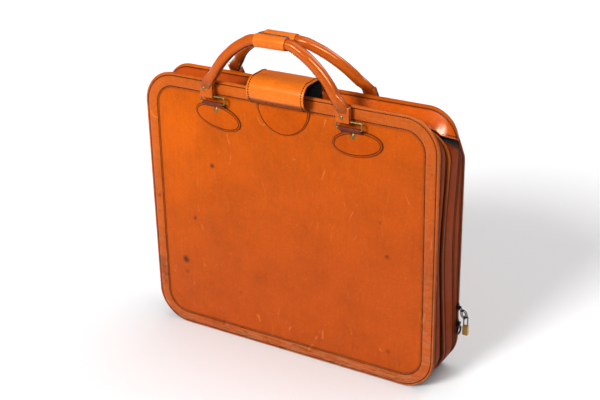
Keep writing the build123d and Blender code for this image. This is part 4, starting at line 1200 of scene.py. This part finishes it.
# Metal, black and hidden pieces keep the frame's own solids
SWELL = {"upper_pull": 0.7, "lower_pull": 0.5, "padlock_shackle": 0.25}
for node, material in (("catch_plate", STEEL), ("flap_magnet", STEEL), ("clasp_bar", STEEL), ("upper_slider", BLACK),
                       ("lower_slider", BLACK), ("upper_pull", BLACK), ("lower_pull", BLACK),
                       ("padlock_shackle", DARK_STEEL), ("padlock_body", LOCK_BRASS), ("base_board", BOARD),
                       ("hinge_strip", BROWN)):
    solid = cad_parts[node]
    solid.data.materials.clear()
    solid.data.materials.append(material)
    bevel = solid.modifiers.new("soft edges", "BEVEL")
    bevel.width = 0.15 * MM
    bevel.segments = 2
    bevel.limit_method = "ANGLE"
    if node in SWELL:
        fatter = solid.modifiers.new("rounded lacquer", "DISPLACE")
        fatter.mid_level = 0.0
        fatter.strength = SWELL[node] * MM

# Floor, light and camera
floor_mesh = bpy.data.meshes.new("floor")
floor_mesh.from_pydata([(-30, -30, 0), (30, -30, 0), (30, 30, 0), (-30, 30, 0)], [], [(0, 1, 2, 3)])
floor = bpy.data.objects.new("floor", floor_mesh)
bpy.context.scene.collection.objects.link(floor)
n = Nodes("pale floor")
seen = n.add("ShaderNodeLightPath").outputs["Is Camera Ray"]
floor_mesh.materials.append(n.set(Base_Color=rgb(0.83, 0.83, 0.835), Roughness=0.95, Specular_IOR_Level=0.0,
                                  Emission_Color=rgb(0.6, 1.0, 1.0), Emission_Strength=n.math("MULTIPLY", seen, 0.045)))


def lamp(name, kind, energy, place, direction, **settings):
    """Light at a place that shines along a direction."""
    data = bpy.data.lights.new(name, kind)
    data.energy = energy
    for key, value in settings.items():
        setattr(data, key, value)
    made = bpy.data.objects.new(name, data)
    made.location = place
    made.rotation_euler = Vector(direction).to_track_quat("-Z", "Y").to_euler()
    bpy.context.scene.collection.objects.link(made)
    made.visible_diffuse = kind == "SUN"


lamp("window light", "SUN", 3.1, (0, 0, 3), (0.206, 0.832, -0.515), angle=math.radians(17))
lamp("overhead light", "SUN", 1.5, (0, 0, 4), (-0.15, -0.25, -1.0), angle=math.radians(50))
lamp("right softbox", "AREA", 45.0, (1.2, -1.05, 1.80), (-0.50, 0.50, -0.69), shape="RECTANGLE", size=1.1, size_y=0.35)
lamp("rear softbox", "AREA", 16.0, (0.76, 1.4, 1.73), (-0.5, -1.4, -1.3), shape="RECTANGLE", size=0.9, size_y=0.6)

world = bpy.data.worlds.new("studio")
world.use_nodes = True
tree = world.node_tree
background = tree.nodes["Background"]
background.inputs["Color"].default_value = rgb(1.0, 0.91, 0.915)
rays = tree.nodes.new("ShaderNodeLightPath")
strengths = []
for kind, low, high in (("Is Glossy Ray", 0.32, 0.10), ("Is Camera Ray", 0.0, 1.15)):
    chosen = tree.nodes.new("ShaderNodeMapRange")
    chosen.inputs["To Min"].default_value = low
    chosen.inputs["To Max"].default_value = high
    tree.links.new(rays.outputs[kind], chosen.inputs["Value"])
    strengths.append(chosen.outputs[0])
larger = tree.nodes.new("ShaderNodeMath")
larger.operation = "MAXIMUM"
tree.links.new(strengths[0], larger.inputs[0])
tree.links.new(strengths[1], larger.inputs[1])
tree.links.new(larger.outputs[0], background.inputs["Strength"])
bpy.context.scene.world = world
bpy.context.scene.view_settings.view_transform = "Standard"

# Fitted to the stitched outline in the photograph
camera_data = bpy.data.cameras.new("camera")
camera_data.lens = 72.0
camera_data.sensor_width = 36.0
camera = bpy.data.objects.new("camera", camera_data)
camera.location = (0.90121, -1.50274, 1.05927)
camera.rotation_euler = tuple(math.radians(a) for a in (65.4376, 1.0811, 30.4953))
bpy.context.scene.collection.objects.link(camera)
bpy.context.scene.camera = camera
